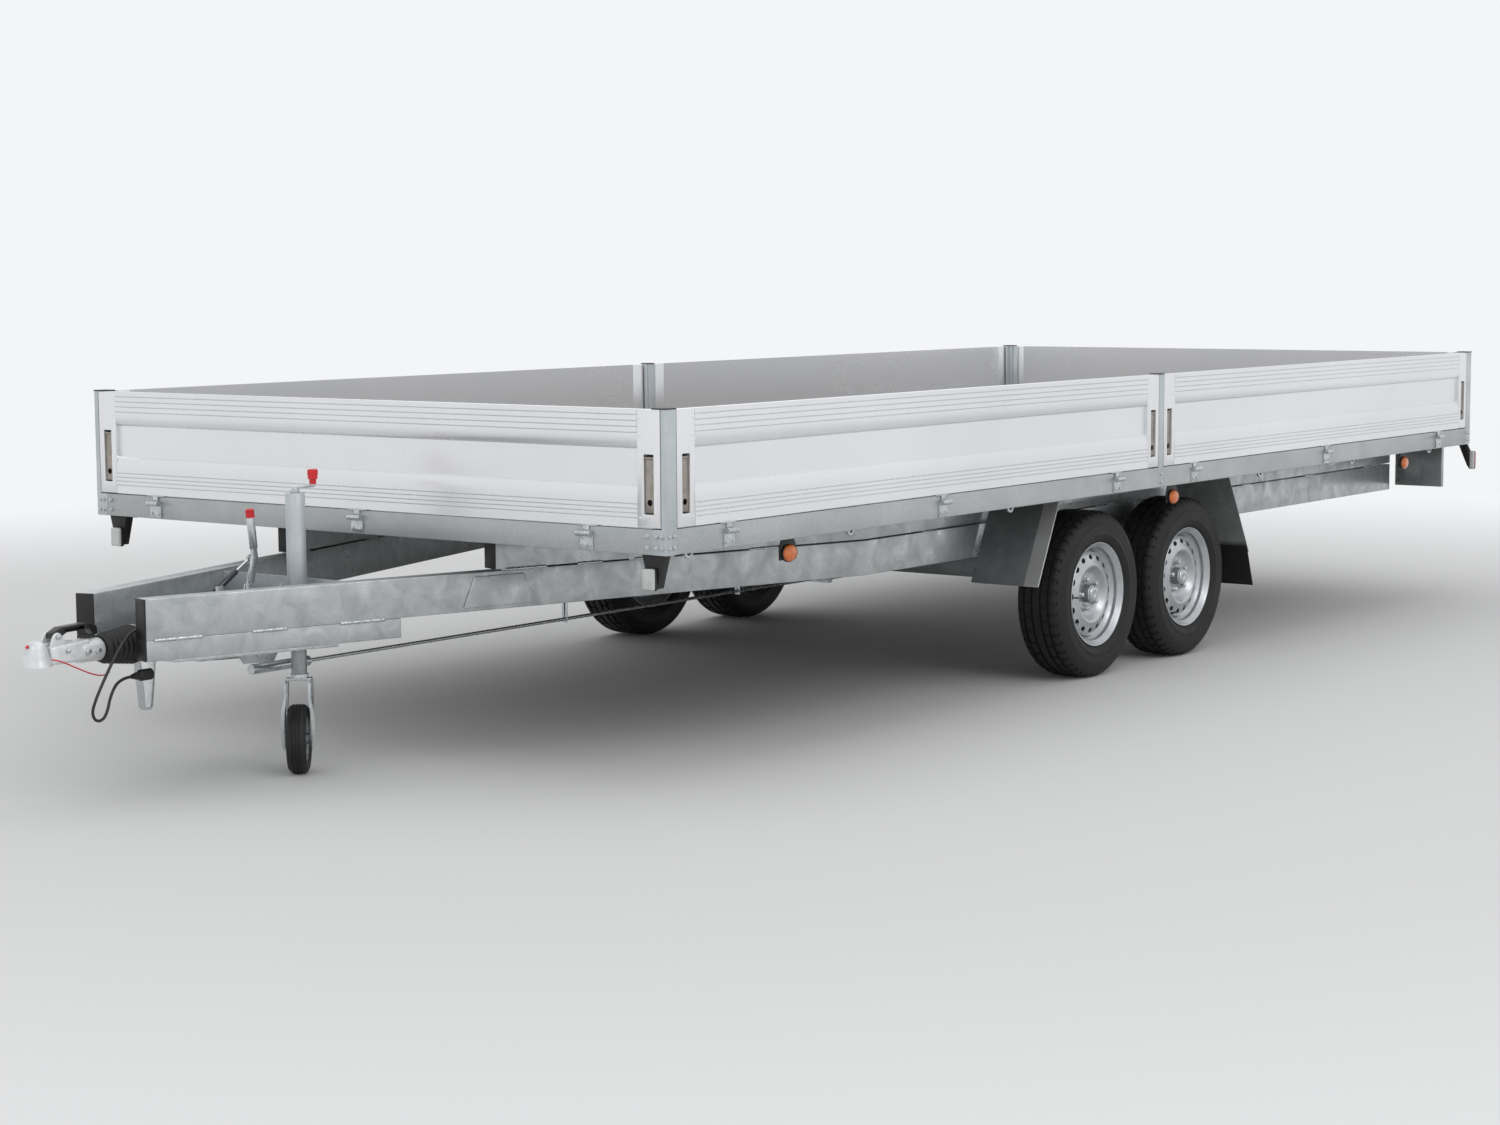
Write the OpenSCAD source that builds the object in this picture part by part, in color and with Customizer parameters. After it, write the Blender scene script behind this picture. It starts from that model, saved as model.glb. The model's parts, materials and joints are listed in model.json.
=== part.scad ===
// Tandem-axle platform trailer with six aluminium drop-side walls.
// +X points forward along the drawbar, +Y to the trailer's left, +Z up from the ground.
// The origin is on the ground, midway along and midway across the whole trailer.

/* [Platform] */
// Length of the load bed over the corner posts
bed_len = 6000; // [4800:50:7200]
// Width of the load bed over the side walls
bed_w = 2500; // [2050:10:3000]
// Height of the frame rails' top face above the ground
rail_top_z = 772; // [745:1:860]
// Height of the frame rails
rail_h = 75; // [60:1:90]
// Width of the frame rails
rail_w = 45; // [40:1:60]
// Wall thickness of the frame rails
rail_t = 3; // [2:0.5:5]
// Thickness of the plywood deck
deck_t = 18; // [12:1:24]
// Width of a cross member
cross_w = 45; // [35:1:60]
// Number of cross members
cross_count = 10; // [8:1:14]

/* [Drop-side walls] */
// Height of a wall
wall_h = 346; // [300:1:420]
// Thickness of a wall
wall_t = 25; // [22:1:32]
// Skin thickness of the wall extrusions
skin_t = 2; // [1.5:0.5:3]
// Width of the profile that closes each end of a wall
end_w = 85; // [75:1:100]
// Gap under a wall
wall_gap = 4; // [2:1:6]
// Gap between a wall's end and its post
post_gap = 3; // [2:1:6]
// Height of the latch recess
latch_h = 176; // [150:1:190]
// Width of the latch recess
latch_w = 37; // [30:1:42]

/* [Posts] */
// Length of a corner post along the trailer
post_x = 50; // [44:1:70]
// Width of a corner post across the trailer
post_y = 50; // [44:1:70]
// Part of a corner post that shows beside the end wall
post_lip = 18; // [14:1:24]
// Width of a middle post along the trailer
mid_post_w = 36; // [30:1:50]

/* [Wall hinges] */
// Distance of a hinge axis outside the wall's face
hinge_out = 15; // [14:1:22]
// Radius of a hinge knuckle
knuckle_r = 9; // [8:0.5:11]
// Radius of a hinge pin
pin_r = 4; // [3:0.5:5]
// Length of the knuckle on the wall
knuckle_len = 24; // [18:1:30]
// Distance of the first hinge from a side wall's front end
hinge_inset_front = 245; // [180:5:300]
// Distance of the last hinge from a side wall's rear end
hinge_inset_rear = 320; // [180:5:380]

/* [Chassis beams] */
// Height of a main beam
beam_h = 120; // [100:5:140]
// Width of a main beam
beam_w = 60; // [50:5:70]
// Wall thickness of the beams
beam_t = 4; // [3:0.5:6]
// Reach of the main beams ahead of the bed
beam_reach = 1006; // [860:2:1200]
// Half distance across the main beams' outer faces at the drawbar end
beam_front_y = 150; // [140:2:180]
// Half distance across the main beams' outer faces beside the wheels
beam_side_y = 900; // [850:5:905]
// Distance of the beams' bend behind the bed's front face
beam_bend = 1530; // [1300:10:1700]
// Height of an upper beam
upper_h = 95; // [80:1:110]
// Gap between the stacked beams that the weld runs close
weld_gap = 5; // [3:1:6]
// Length of the lower drawbar stiffeners
stiff_len = 830; // [600:10:900]
// Height of the lower drawbar stiffeners
stiff_h = 60; // [50:1:70]

/* [Wheels and axles] */
// Distance of the front axle behind the bed's front face
axle_back = 2712; // [2600:2:2900]
// Distance between the two axles
axle_gap = 706; // [690:2:760]
// Half distance between the wheels' middle planes
half_track = 1062; // [1055:1:1075]
// Outer radius of a road tyre
tyre_r = 312; // [300:1:325]
// Width of a road tyre
tyre_w = 196; // [175:1:200]
// Radius of the rim's bead seat
seat_r = 177.8; // [165:0.1:180]
// Radius of a brake drum
drum_r = 115; // [100:1:125]
// Length of a swing arm
arm_len = 173; // [150:1:185]
// Droop of an unladen swing arm below level
arm_droop = 33; // [25:1:36]
// Width of the square axle tubes
axle_tube_w = 80; // [70:1:90]
// Radius of a swing arm's shaft
arm_shaft_r = 30; // [24:1:34]

/* [Coupling] */
// Height of the overrun tube's axis
draw_z = 450; // [440:1:470]
// Reach of the coupling's tip ahead of the bed
tip_reach = 1321; // [1300:1:1500]
// Radius of the overrun tube
draw_r = 25; // [22:0.5:28]
// Diameter of the tow ball that the coupling takes
ball_d = 50; // [45:0.1:51]
// Radius of the coupling head around the ball
head_r = 43; // [40:1:48]

/* [Jockey wheel] */
// Radius of the jockey wheel
jockey_r = 106; // [95:1:115]
// Width of the jockey wheel
jockey_w = 60; // [50:1:66]
// Trail of the jockey wheel behind its swivel axis
jockey_trail = 50; // [35:1:60]
// Radius of the jockey wheel's outer tube
jockey_tube_r = 30; // [28:1:34]
// Radius of the jockey wheel's inner tube
jockey_inner_r = 24; // [20:1:26]

/* [Hidden] */
$fn = 48;
fit = 0.05;      // radial clearance of a running fit
sit = 0.2;       // gap between separate pieces that are fastened together
run = 0.5;       // side clearance of pieces that move past each other

hw = bed_w / 2;
rear_reach = hinge_out + knuckle_r;
front_x = (bed_len + rear_reach - tip_reach) / 2;
rear_x = front_x - bed_len;
mid_x = front_x - bed_len / 2;
rail_bottom = rail_top_z - rail_h;
wall_z = rail_top_z + wall_gap;
wall_top = wall_z + wall_h;
hinge_z = wall_z - 26;
inner_face = hw - wall_t;
flange_y = inner_face - wall_gap;
flange_t = 5;
flange_reach = 25;

mid_post_d = 38;
front_span = front_x - post_x - post_gap;
rear_span = mid_x - mid_post_w / 2 - post_gap;
side_wall_len = bed_len / 2 - post_x - mid_post_w / 2 - 2 * post_gap;
end_wall_len = bed_w - 2 * (post_lip + post_gap);
side_hinges = [
    hinge_inset_front,
    (hinge_inset_front + side_wall_len - hinge_inset_rear) / 2,
    side_wall_len - hinge_inset_rear
];
end_hinge_inset = 280;
end_hinges = [end_hinge_inset, end_wall_len / 2, end_wall_len - end_hinge_inset];
leaf_w = 80;
leaf_t = 4;
leaf_under = 20;
foot_len = 54;
latch_drop = 131;
latch_pin_r = 3;
latch_depth = 16;

// Beam lines, as seen from above on the left side.
beam_z = rail_bottom - upper_h - weld_gap - beam_h;
bend_angle = atan2(beam_side_y - beam_front_y, beam_reach + beam_bend);
beam_tail = 100;
upper_start = (beam_reach + 115) / cos(bend_angle);
cap_t = 5;
// Point at distance s along the slanted beam and d inside its outer face.
function slant(s, d) = [
    front_x + beam_reach - s * cos(bend_angle) - d * sin(bend_angle),
    beam_front_y + s * sin(bend_angle) - d * cos(bend_angle)
];
function bend(d) = [front_x - beam_bend - d * tan(bend_angle / 2), beam_side_y - d];
function beam_outline(s, d0, d1, tail_x) = [
    slant(s, d0), bend(d0), [tail_x, beam_side_y - d0],
    [tail_x, beam_side_y - d1], bend(d1), slant(s, d1)
];

front_axle_x = front_x - axle_back;
rear_axle_x = front_axle_x - axle_gap;
pivot_dx = arm_len * cos(arm_droop);
pivot_z = tyre_r + arm_len * sin(arm_droop);
arm_y0 = beam_side_y + 5;
arm_t = 38;
arm_shaft_len = 140;
stub_r = 20;
drum_in = -70;
disc_z = 30;
disc_t = 4;
stud_pcd_r = 56;
stud_count = 5;
vent_count = 16;
flange_r = seat_r + 17.2;
rim_half = 83;

guard_y0 = beam_side_y + 30;
guard_y1 = hw - 52;
guard_t = 2.5;

plate_t = 10;
plate_z = beam_z - sit - stiff_h - plate_t;
// The lamp boards stop short of the rear wall's latches as the wall hangs down.
board_out = hw - post_y - post_gap - end_w / 2 - latch_w / 2 - 6;
stitch_pitch = 620;
stitch_count = floor((front_x - beam_bend - rear_x - 470) / stitch_pitch);
housing_x0 = front_x + 410;
housing_x1 = front_x + 930;
housing_half = 45;
bellows_x0 = housing_x1 + 2;
bellows_x1 = front_x + 1054;
sleeve_x = front_x + 1056;
ball_x = front_x + tip_reach - head_r;
housing_top = draw_z + housing_half;
grip_x = ball_x - 58;
grip_z = draw_z + 54;

lever_y = -20;
lever_t = 10;
lever_a = [front_x + 449, housing_top + 70];
lever_c = [lever_a[0] - 24, lever_a[1] + 90];
lever_tip = [lever_a[0] - 8, lever_a[1] + 240];
strut_b = [lever_a[0] + 114, lever_a[1] + 5];
strut_y = -42;
strut_len = norm(lever_c - strut_b);
strut_angle = atan2(lever_c[1] - strut_b[1], lever_c[0] - strut_b[0]);
strut_r = 11;
strut_mouth = strut_len - 68;
rod_r = 4;
eye_r = 9;

jockey_x = front_x + 355;
jockey_y = 90;
jockey_low = 385;
jockey_top = 855;
crown_z = 300;
caster_turn = 40;
fork_half = jockey_w / 2 + 4;
fork_t = 4;
crank_arm = 88;
crank_turn = 188;
knob_r = 12;

rod_z = 318;
brake_rod_r = 6;
tube_bottom_z = 330;

lamp_x = [664, 3176, 5350];
loop_x = [140, 980, 1958, 3890, 4768, 5600];

// Free cords: hand-chosen points, measured from the bed's front face.
power_route = [
    [936, 78, 506], [960, 80, 506], [985, 84, 503], [1010, 88, 495], [1035, 92, 480],
    [1060, 96, 458], [1085, 98, 428], [1110, 100, 394], [1135, 102, 358], [1156, 102, 322],
    [1166, 100, 292], [1160, 98, 270], [1140, 94, 260], [1116, 88, 266], [1096, 80, 286],
    [1078, 70, 312], [1056, 60, 336], [1030, 50, 352], [1000, 44, 360], [972, 42, 362]
];
power_r = 4.5;
breakaway_route = [
    [1262, 47, 446], [1240, 52, 440], [1212, 54, 428], [1182, 54, 414], [1150, 52, 400],
    [1118, 46, 388], [1088, 36, 380], [1060, 24, 376], [1036, 12, 376], [1018, 0, 378]
];
breakaway_r = 2;

// ---- Shared shapes ----

module block(x0, x1, y0, y1, z0, z1) {
    translate([x0, y0, z0]) cube([x1 - x0, y1 - y0, z1 - z0]);
}

module both_sides() {
    children();
    mirror([0, 1, 0]) children();
}

// Cylinder along Y between two places.
module rod_y(x, z, y0, y1, r) {
    translate([x, y1, z]) rotate([90, 0, 0]) cylinder(r = r, h = y1 - y0);
}

// Cylinder along X between two places.
module rod_x(y, z, x0, x1, r) {
    translate([x0, y, z]) rotate([0, 90, 0]) cylinder(r = r, h = x1 - x0);
}

// Outline in the X-Z plane, extruded along Y.
module slab_xz(points, y0, y1) {
    translate([0, y1, 0]) rotate([90, 0, 0]) linear_extrude(y1 - y0) polygon(points);
}

// Outline in the Y-Z plane, extruded along X.
module slab_yz(points, x0, x1) {
    translate([x0, 0, 0]) rotate([90, 0, 90]) linear_extrude(x1 - x0) polygon(points);
}

// Flat link with round ends, from point a to point b in the X-Z plane.
module link_xz(a, b, ra, rb, y0, y1) {
    turn = atan2(b[1] - a[1], b[0] - a[0]);
    span = norm(b - a);
    lean = asin((ra - rb) / span);
    translate([a[0], y1, a[1]]) rotate([90, 0, 0]) rotate(turn) linear_extrude(y1 - y0) {
        circle(ra);
        translate([span, 0]) circle(rb);
        polygon([
            [ra * sin(lean), ra * cos(lean)], [span + rb * sin(lean), rb * cos(lean)],
            [span + rb * sin(lean), -rb * cos(lean)], [ra * sin(lean), -ra * cos(lean)]
        ]);
    }
}

// One round cord as a single closed tube through the points of a route.
function sub_point(p, i, t) =
    let (a = p[max(i - 1, 0)], b = p[i], c = p[i + 1], d = p[min(i + 2, len(p) - 1)])
    0.5 * (2 * b + (c - a) * t + (2 * a - 5 * b + 4 * c - d) * t * t
        + (3 * b - a - 3 * c + d) * t * t * t);
function smooth(p, n) = [
    for (i = [0 : len(p) - 2]) for (k = [0 : n - 1]) sub_point(p, i, k / n),
    p[len(p) - 1]
];
function unit(v) = v / norm(v);
module cord(points, r, sides) {
    last = len(points) - 1;
    rings = [
        for (i = [0 : last])
            let (
                along = unit(points[min(i + 1, last)] - points[max(i - 1, 0)]),
                across = unit(cross(along, [0, 1, 0])),
                up = cross(along, across)
            )
            for (k = [0 : sides - 1])
                points[i] + r * (cos(360 * k / sides) * across + sin(360 * k / sides) * up)
    ];
    walls = [
        for (i = [0 : last - 1]) for (k = [0 : sides - 1])
            let (n = (k + 1) % sides)
            [i * sides + k, i * sides + n, (i + 1) * sides + n, (i + 1) * sides + k]
    ];
    start = [for (k = [sides - 1 : -1 : 0]) k];
    end = [for (k = [0 : sides - 1]) last * sides + k];
    translate([front_x, 0, 0]) polyhedron(points = rings, faces = concat([start], walls, [end]));
}

// ---- Chassis ----

module main_beam() {
    tail = rear_x + beam_tail;
    translate([0, 0, beam_z]) difference() {
        linear_extrude(beam_h) polygon(beam_outline(0, 0, beam_w, tail));
        translate([0, 0, beam_t]) linear_extrude(beam_h - 2 * beam_t)
            polygon(beam_outline(-1, beam_t, beam_w - beam_t, tail - 1));
    }
}

module main_beam_left() {
    color("silver") main_beam();
}

module main_beam_right() {
    color("silver") mirror([0, 1, 0]) main_beam();
}

module upper_beams() {
    z0 = beam_z + beam_h + weld_gap;
    tail = rear_x + beam_tail;
    color("silver") both_sides() {
        difference() {
            translate([0, 0, z0]) linear_extrude(upper_h)
                polygon(beam_outline(upper_start, 0, beam_w, tail));
            translate([0, 0, z0 + beam_t]) linear_extrude(upper_h - 2 * beam_t)
                polygon(beam_outline(upper_start - 1, beam_t, beam_w - beam_t, tail - 1));
        }
        for (i = [0 : stitch_count])
            block(rear_x + 300 + i * stitch_pitch, rear_x + 380 + i * stitch_pitch,
                beam_side_y - beam_w, beam_side_y, z0 - weld_gap, z0);
        for (s = [20, 500, 980])
            translate([0, 0, z0 - weld_gap]) linear_extrude(weld_gap)
                polygon([slant(upper_start + s, 0), slant(upper_start + s + 80, 0),
                    slant(upper_start + s + 80, beam_w), slant(upper_start + s, beam_w)]);
    }
}

module drawbar_stiffeners() {
    z0 = beam_z - sit - stiff_h;
    color("silver") both_sides() {
        translate([0, 0, z0]) difference() {
            linear_extrude(stiff_h)
                polygon([slant(0, 0), slant(stiff_len, 0), slant(stiff_len, beam_w), slant(0, beam_w)]);
            translate([0, 0, beam_t]) linear_extrude(stiff_h - 2 * beam_t)
                polygon([slant(-1, beam_t), slant(stiff_len + 1, beam_t),
                    slant(stiff_len + 1, beam_w - beam_t), slant(-1, beam_w - beam_t)]);
        }
        // Patch plate on the beam's side where the upper beam begins.
        translate(concat(slant(upper_start - 120, 0), [beam_z + 12]))
            rotate(180 - bend_angle) rotate([90, 0, 0]) mirror([0, 0, 1]) translate([0, 0, -6.2])
                linear_extrude(6) polygon([[0, 0], [260, 0], [220, beam_h - 24], [40, beam_h - 24]]);
    }
}

module plastic_caps() {
    tail = rear_x + beam_tail;
    color([0.1, 0.1, 0.11]) {
        both_sides() {
            for (span = [[beam_z - sit - stiff_h, stiff_h], [beam_z, beam_h]])
                translate([0, 0, span[0]]) linear_extrude(span[1] - sit)
                    polygon([slant(-cap_t, 0), slant(0, 0), slant(0, beam_w), slant(-cap_t, beam_w)]);
            translate([0, 0, beam_z + beam_h + weld_gap]) linear_extrude(upper_h - sit)
                polygon([slant(upper_start - cap_t, 0), slant(upper_start, 0),
                    slant(upper_start, beam_w), slant(upper_start - cap_t, beam_w)]);
            block(tail - cap_t, tail, beam_side_y - beam_w, beam_side_y, beam_z, beam_z + beam_h);
            block(tail - cap_t, tail, beam_side_y - beam_w, beam_side_y,
                beam_z + beam_h + weld_gap, rail_bottom - sit);
            post_cap(front_x - post_x - 1, front_x + 2, hw - post_y - 1, hw + 2);
            post_cap(rear_x - 2, rear_x + post_x + 1, hw - post_y - 1, hw + 2);
            post_cap(mid_x - mid_post_w / 2 - 2, mid_x + mid_post_w / 2 + 2, hw - 42, hw + 2);
        }
    }
}

module post_cap(x0, x1, y0, y1) {
    block(x0, x1, y0, y1, wall_top, wall_top + 4);
}

module rail_section(length) {
    difference() {
        cube([length, rail_w, rail_h]);
        translate([-1, rail_t, rail_t])
            cube([length + 2, rail_w - 2 * rail_t, rail_h - 2 * rail_t]);
    }
}

module side_rails() {
    color("silver") both_sides() difference() {
        translate([rear_x + post_x, hw - rail_w, rail_bottom]) rail_section(bed_len - 2 * post_x);
        block(mid_x - mid_post_w / 2, mid_x + mid_post_w / 2, hw - mid_post_d, hw + 1,
            rail_bottom + 8, rail_top_z + 1);
    }
}

module end_rails() {
    length = bed_w - 2 * post_y;
    color("silver") for (x = [front_x, rear_x + rail_w])
        translate([x, -length / 2, rail_bottom]) rotate(90) rail_section(length);
}

module cross_members() {
    z1 = rail_top_z - deck_t;
    first = rear_x + rail_w + 230;
    pitch = (bed_len - 2 * rail_w - 2 * 230 - cross_w) / (cross_count - 1);
    half = hw - rail_w;
    color("silver") for (i = [0 : cross_count - 1]) difference() {
        block(first + i * pitch, first + i * pitch + cross_w, -half, half, rail_bottom, z1);
        block(first + i * pitch + rail_t, first + i * pitch + cross_w - rail_t, -half - 1, half + 1,
            rail_bottom + rail_t, z1 - rail_t);
    }
}

module deck() {
    corner_x = [front_x - post_x - sit, rear_x + post_x + sit];
    color([0.35, 0.25, 0.18]) difference() {
        block(rear_x + rail_w, front_x - rail_w, -hw + rail_w, hw - rail_w,
            rail_top_z - deck_t, rail_top_z);
        both_sides() {
            block(corner_x[0], front_x, hw - post_y - sit, hw, rail_top_z - deck_t - 1, rail_top_z + 1);
            block(rear_x, corner_x[1], hw - post_y - sit, hw, rail_top_z - deck_t - 1, rail_top_z + 1);
        }
    }
}

// Corner post at the left front, its inside corner behind the two walls' ends.
module corner_post() {
    behind = wall_t + wall_gap;
    difference() {
        union() {
            block(-post_x, 0, hw - post_y, hw, rail_bottom, rail_top_z);
            block(-post_x, 0, hw - post_lip, hw, rail_top_z, wall_top);
            block(-post_x, -behind, hw - post_y, hw - post_lip, rail_top_z, wall_top);
            block(-post_x - flange_reach, -post_x, flange_y - flange_t, flange_y,
                rail_top_z + 1, wall_top);
            block(-behind - flange_t, -behind, hw - post_y - flange_reach, hw - post_y,
                rail_top_z + 1, wall_top);
        }
        block(-post_x + 3, -3, hw - post_lip + 3, hw - 3, rail_bottom - 1, wall_top + 1);
        block(-post_x + 3, -behind - 3, hw - post_y + 3, hw - post_lip - 3,
            rail_bottom - 1, wall_top + 1);
    }
}

module mid_post() {
    difference() {
        union() {
            block(-mid_post_w / 2, mid_post_w / 2, hw - mid_post_d, hw, rail_bottom + 8, wall_top);
            block(-mid_post_w / 2 - flange_reach + 8, mid_post_w / 2 + flange_reach - 8,
                flange_y - flange_t, flange_y, rail_top_z + 1, wall_top);
        }
        block(-mid_post_w / 2 + 3, mid_post_w / 2 - 3, hw - mid_post_d + 3, hw - 3,
            rail_bottom, wall_top + 1);
    }
}

module posts() {
    color("gainsboro") both_sides() {
        translate([front_x, 0, 0]) corner_post();
        translate([rear_x, 0, 0]) mirror([1, 0, 0]) corner_post();
        translate([mid_x, 0, 0]) mid_post();
    }
}

// Round-headed bolts at the post sockets and hinge feet, and rope loops under the side rails.
module rail_hardware() {
    color([0.75, 0.76, 0.78]) both_sides() {
        for (x = [front_x - 14, front_x - 36, rear_x + 14, rear_x + 36])
            for (z = [rail_bottom + 20, rail_bottom + 54])
                translate([x, hw + sit, z]) rotate([-90, 0, 0]) bolt_head();
        for (z = [rail_bottom + 20, rail_bottom + 50])
            translate([mid_x, hw + sit, z]) rotate([-90, 0, 0]) bolt_head();
        for (y = [hw - 16, hw - 36, hw - 70])
            for (z = [rail_bottom + 20, rail_bottom + 54]) {
                translate([front_x + sit, y, z]) rotate([0, 90, 0]) bolt_head();
                translate([rear_x - sit, y, z]) rotate([0, -90, 0]) bolt_head();
            }
        for (d = loop_x) translate([front_x - d, hw - 30, rail_bottom - sit]) rope_loop();
    }
}

module bolt_head() {
    cylinder(r = 8, h = 2);
    cylinder(r = 5, h = 6);
}

module rope_loop() {
    rotate([90, 0, 0]) difference() {
        translate([0, 0, -4]) cylinder(r = 20, h = 8);
        translate([0, 0, -5]) cylinder(r = 12, h = 10);
        translate([-21, 0, -5]) cube([42, 22, 10]);
    }
}

// Knuckle pair with its pin and foot plate, on a left rail's outer face, centred on x = 0.
module hinge_bracket() {
    inner = knuckle_len / 2 + run;
    for (s = [-1, 1]) {
        x0 = s > 0 ? inner : -foot_len / 2;
        x1 = s > 0 ? foot_len / 2 : -inner;
        rod_x(hw + hinge_out, hinge_z, x0, x1, knuckle_r);
        block(x0, x1, hw, hw + hinge_out, hinge_z - knuckle_r, hinge_z);
    }
    rod_x(hw + hinge_out, hinge_z, -inner - 1, inner + 1, pin_r);
    block(-foot_len / 2, foot_len / 2, hw, hw + 4, rail_bottom + 4, hinge_z - knuckle_r);
    for (s = [-1, 1])
        translate([s * 17, hw + 4, rail_bottom + 18]) rotate([-90, 0, 0]) cylinder(r = 5, h = 4);
}

module hinge_brackets() {
    color([0.72, 0.73, 0.75]) {
        both_sides() for (d = side_hinges) {
            translate([front_span - d, 0, 0]) hinge_bracket();
            translate([rear_span - d, 0, 0]) hinge_bracket();
        }
        for (d = end_hinges) {
            translate([front_x - hw, d - end_wall_len / 2, 0]) rotate(-90) hinge_bracket();
            translate([rear_x + hw, d - end_wall_len / 2, 0]) rotate(90) hinge_bracket();
        }
    }
}

module axle_tubes() {
    half = beam_side_y + 4;
    r = axle_tube_w / 2;
    color([0.62, 0.63, 0.64]) for (x = [front_axle_x, rear_axle_x]) translate([x + pivot_dx, 0, 0])
        difference() {
            union() {
                block(-r, r, -half, half, pivot_z - r, pivot_z + r);
                both_sides() block(-70, 70, beam_side_y - beam_w, beam_side_y, pivot_z + r,
                    beam_z - sit);
            }
            both_sides() rod_y(0, pivot_z, half - arm_shaft_len - 4, half + 1, arm_shaft_r + fit);
            block(-r + 6, r - 6, -half + arm_shaft_len + 20, half - arm_shaft_len - 20,
                pivot_z - r + 6, pivot_z + r - 6);
        }
}

// Folded guard over both wheels of a side, its ends sloping outwards.
function guard_path(o) = [
    [front_axle_x + tyre_r + 210 - o, 390], [front_axle_x + tyre_r + 60 - o / 2, rail_bottom - o],
    [rear_axle_x - tyre_r + 65 + o / 2, rail_bottom - o], [rear_axle_x - tyre_r - 120 + o, 375]
];
module mudguards() {
    outer = guard_path(0);
    inner = guard_path(guard_t);
    color([0.7, 0.71, 0.72]) both_sides()
        slab_xz(concat(outer, [for (i = [3 : -1 : 0]) inner[i]]), guard_y0, guard_y1);
}

module mud_flaps() {
    tail = guard_path(guard_t)[3];
    color([0.08, 0.08, 0.08]) both_sides()
        slab_xz([[tail[0] + 14.4, tail[1] + 24], [tail[0] + 20.4, tail[1] + 22],
            [tail[0] - 38, 236], [tail[0] - 44, 236]], guard_y0, guard_y1);
}

module marker_lamps() {
    color("orange") both_sides() {
        for (d = lamp_x) block(front_x - d - 45, front_x - d + 45, hw - 46, hw - 26, 626, 668);
        block(front_x - 27, front_x - 5, hw - 100, hw - 55, 590, 656);
    }
}

module rear_lamps() {
    color("red") both_sides() {
        block(rear_x + 2, rear_x + 31, board_out - 225, board_out - 5, 530, 630);
        block(rear_x - 20, rear_x + 10, hw + 4, hw + 26, 580, 664);
    }
}

module lamp_brackets() {
    color([0.15, 0.15, 0.16]) both_sides() {
        for (d = lamp_x)
            slab_xz([[front_x - d - 30, rail_bottom], [front_x - d + 30, rail_bottom],
                [front_x - d + 45, 668], [front_x - d + 45, 626], [front_x - d - 45, 626],
                [front_x - d - 45, 668]], hw - 50, hw - 46 - sit);
        slab_yz([[hw - 115, rail_bottom], [hw - 30, rail_bottom], [hw - 58, 594], [hw - 86, 594]],
            front_x - 60, front_x - 27 - sit);
        slab_yz([[hw - 52, rail_bottom], [hw - 12, rail_bottom], [hw + 4 - sit, 664],
            [hw + 4 - sit, 580], [hw - 10, 600]], rear_x - 12, rear_x + 6);
        // Folded plate that carries the rear lamps.
        block(rear_x + 31 + sit, rear_x + 34 + sit, board_out - 229, board_out, 494, rail_bottom);
        block(rear_x + 8, rear_x + 31 + sit, board_out - 3, board_out, 494, rail_bottom);
    }
}

// ---- Road wheels ----

// Places a wheel's pieces, made about Z with their outer side up, at a corner.
module at_wheel(x, side) {
    mirror([0, side > 0 ? 0 : 1, 0]) translate([x, half_track, tyre_r]) rotate([-90, 0, 0]) children();
}

module swing_arm(x) {
    wheel = [x, tyre_r];
    pivot = [x + pivot_dx, pivot_z];
    plate_y = half_track + drum_in - 8;
    link_xz(pivot, wheel, 45, 38, arm_y0, arm_y0 + arm_t);
    rod_y(pivot[0], pivot[1], arm_y0 - arm_shaft_len, arm_y0, arm_shaft_r);
    rod_y(x, tyre_r, arm_y0 + arm_t, plate_y, 34);
    rod_y(x, tyre_r, plate_y, plate_y + 4, drum_r - 2);
    rod_y(x, tyre_r, plate_y + 4, half_track + 50, stub_r);
}

module arm_front_left() {
    color([0.35, 0.36, 0.38]) swing_arm(front_axle_x);
}

module arm_front_right() {
    color([0.35, 0.36, 0.38]) mirror([0, 1, 0]) swing_arm(front_axle_x);
}

module arm_rear_left() {
    color([0.35, 0.36, 0.38]) swing_arm(rear_axle_x);
}

module arm_rear_right() {
    color([0.35, 0.36, 0.38]) mirror([0, 1, 0]) swing_arm(rear_axle_x);
}

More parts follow.
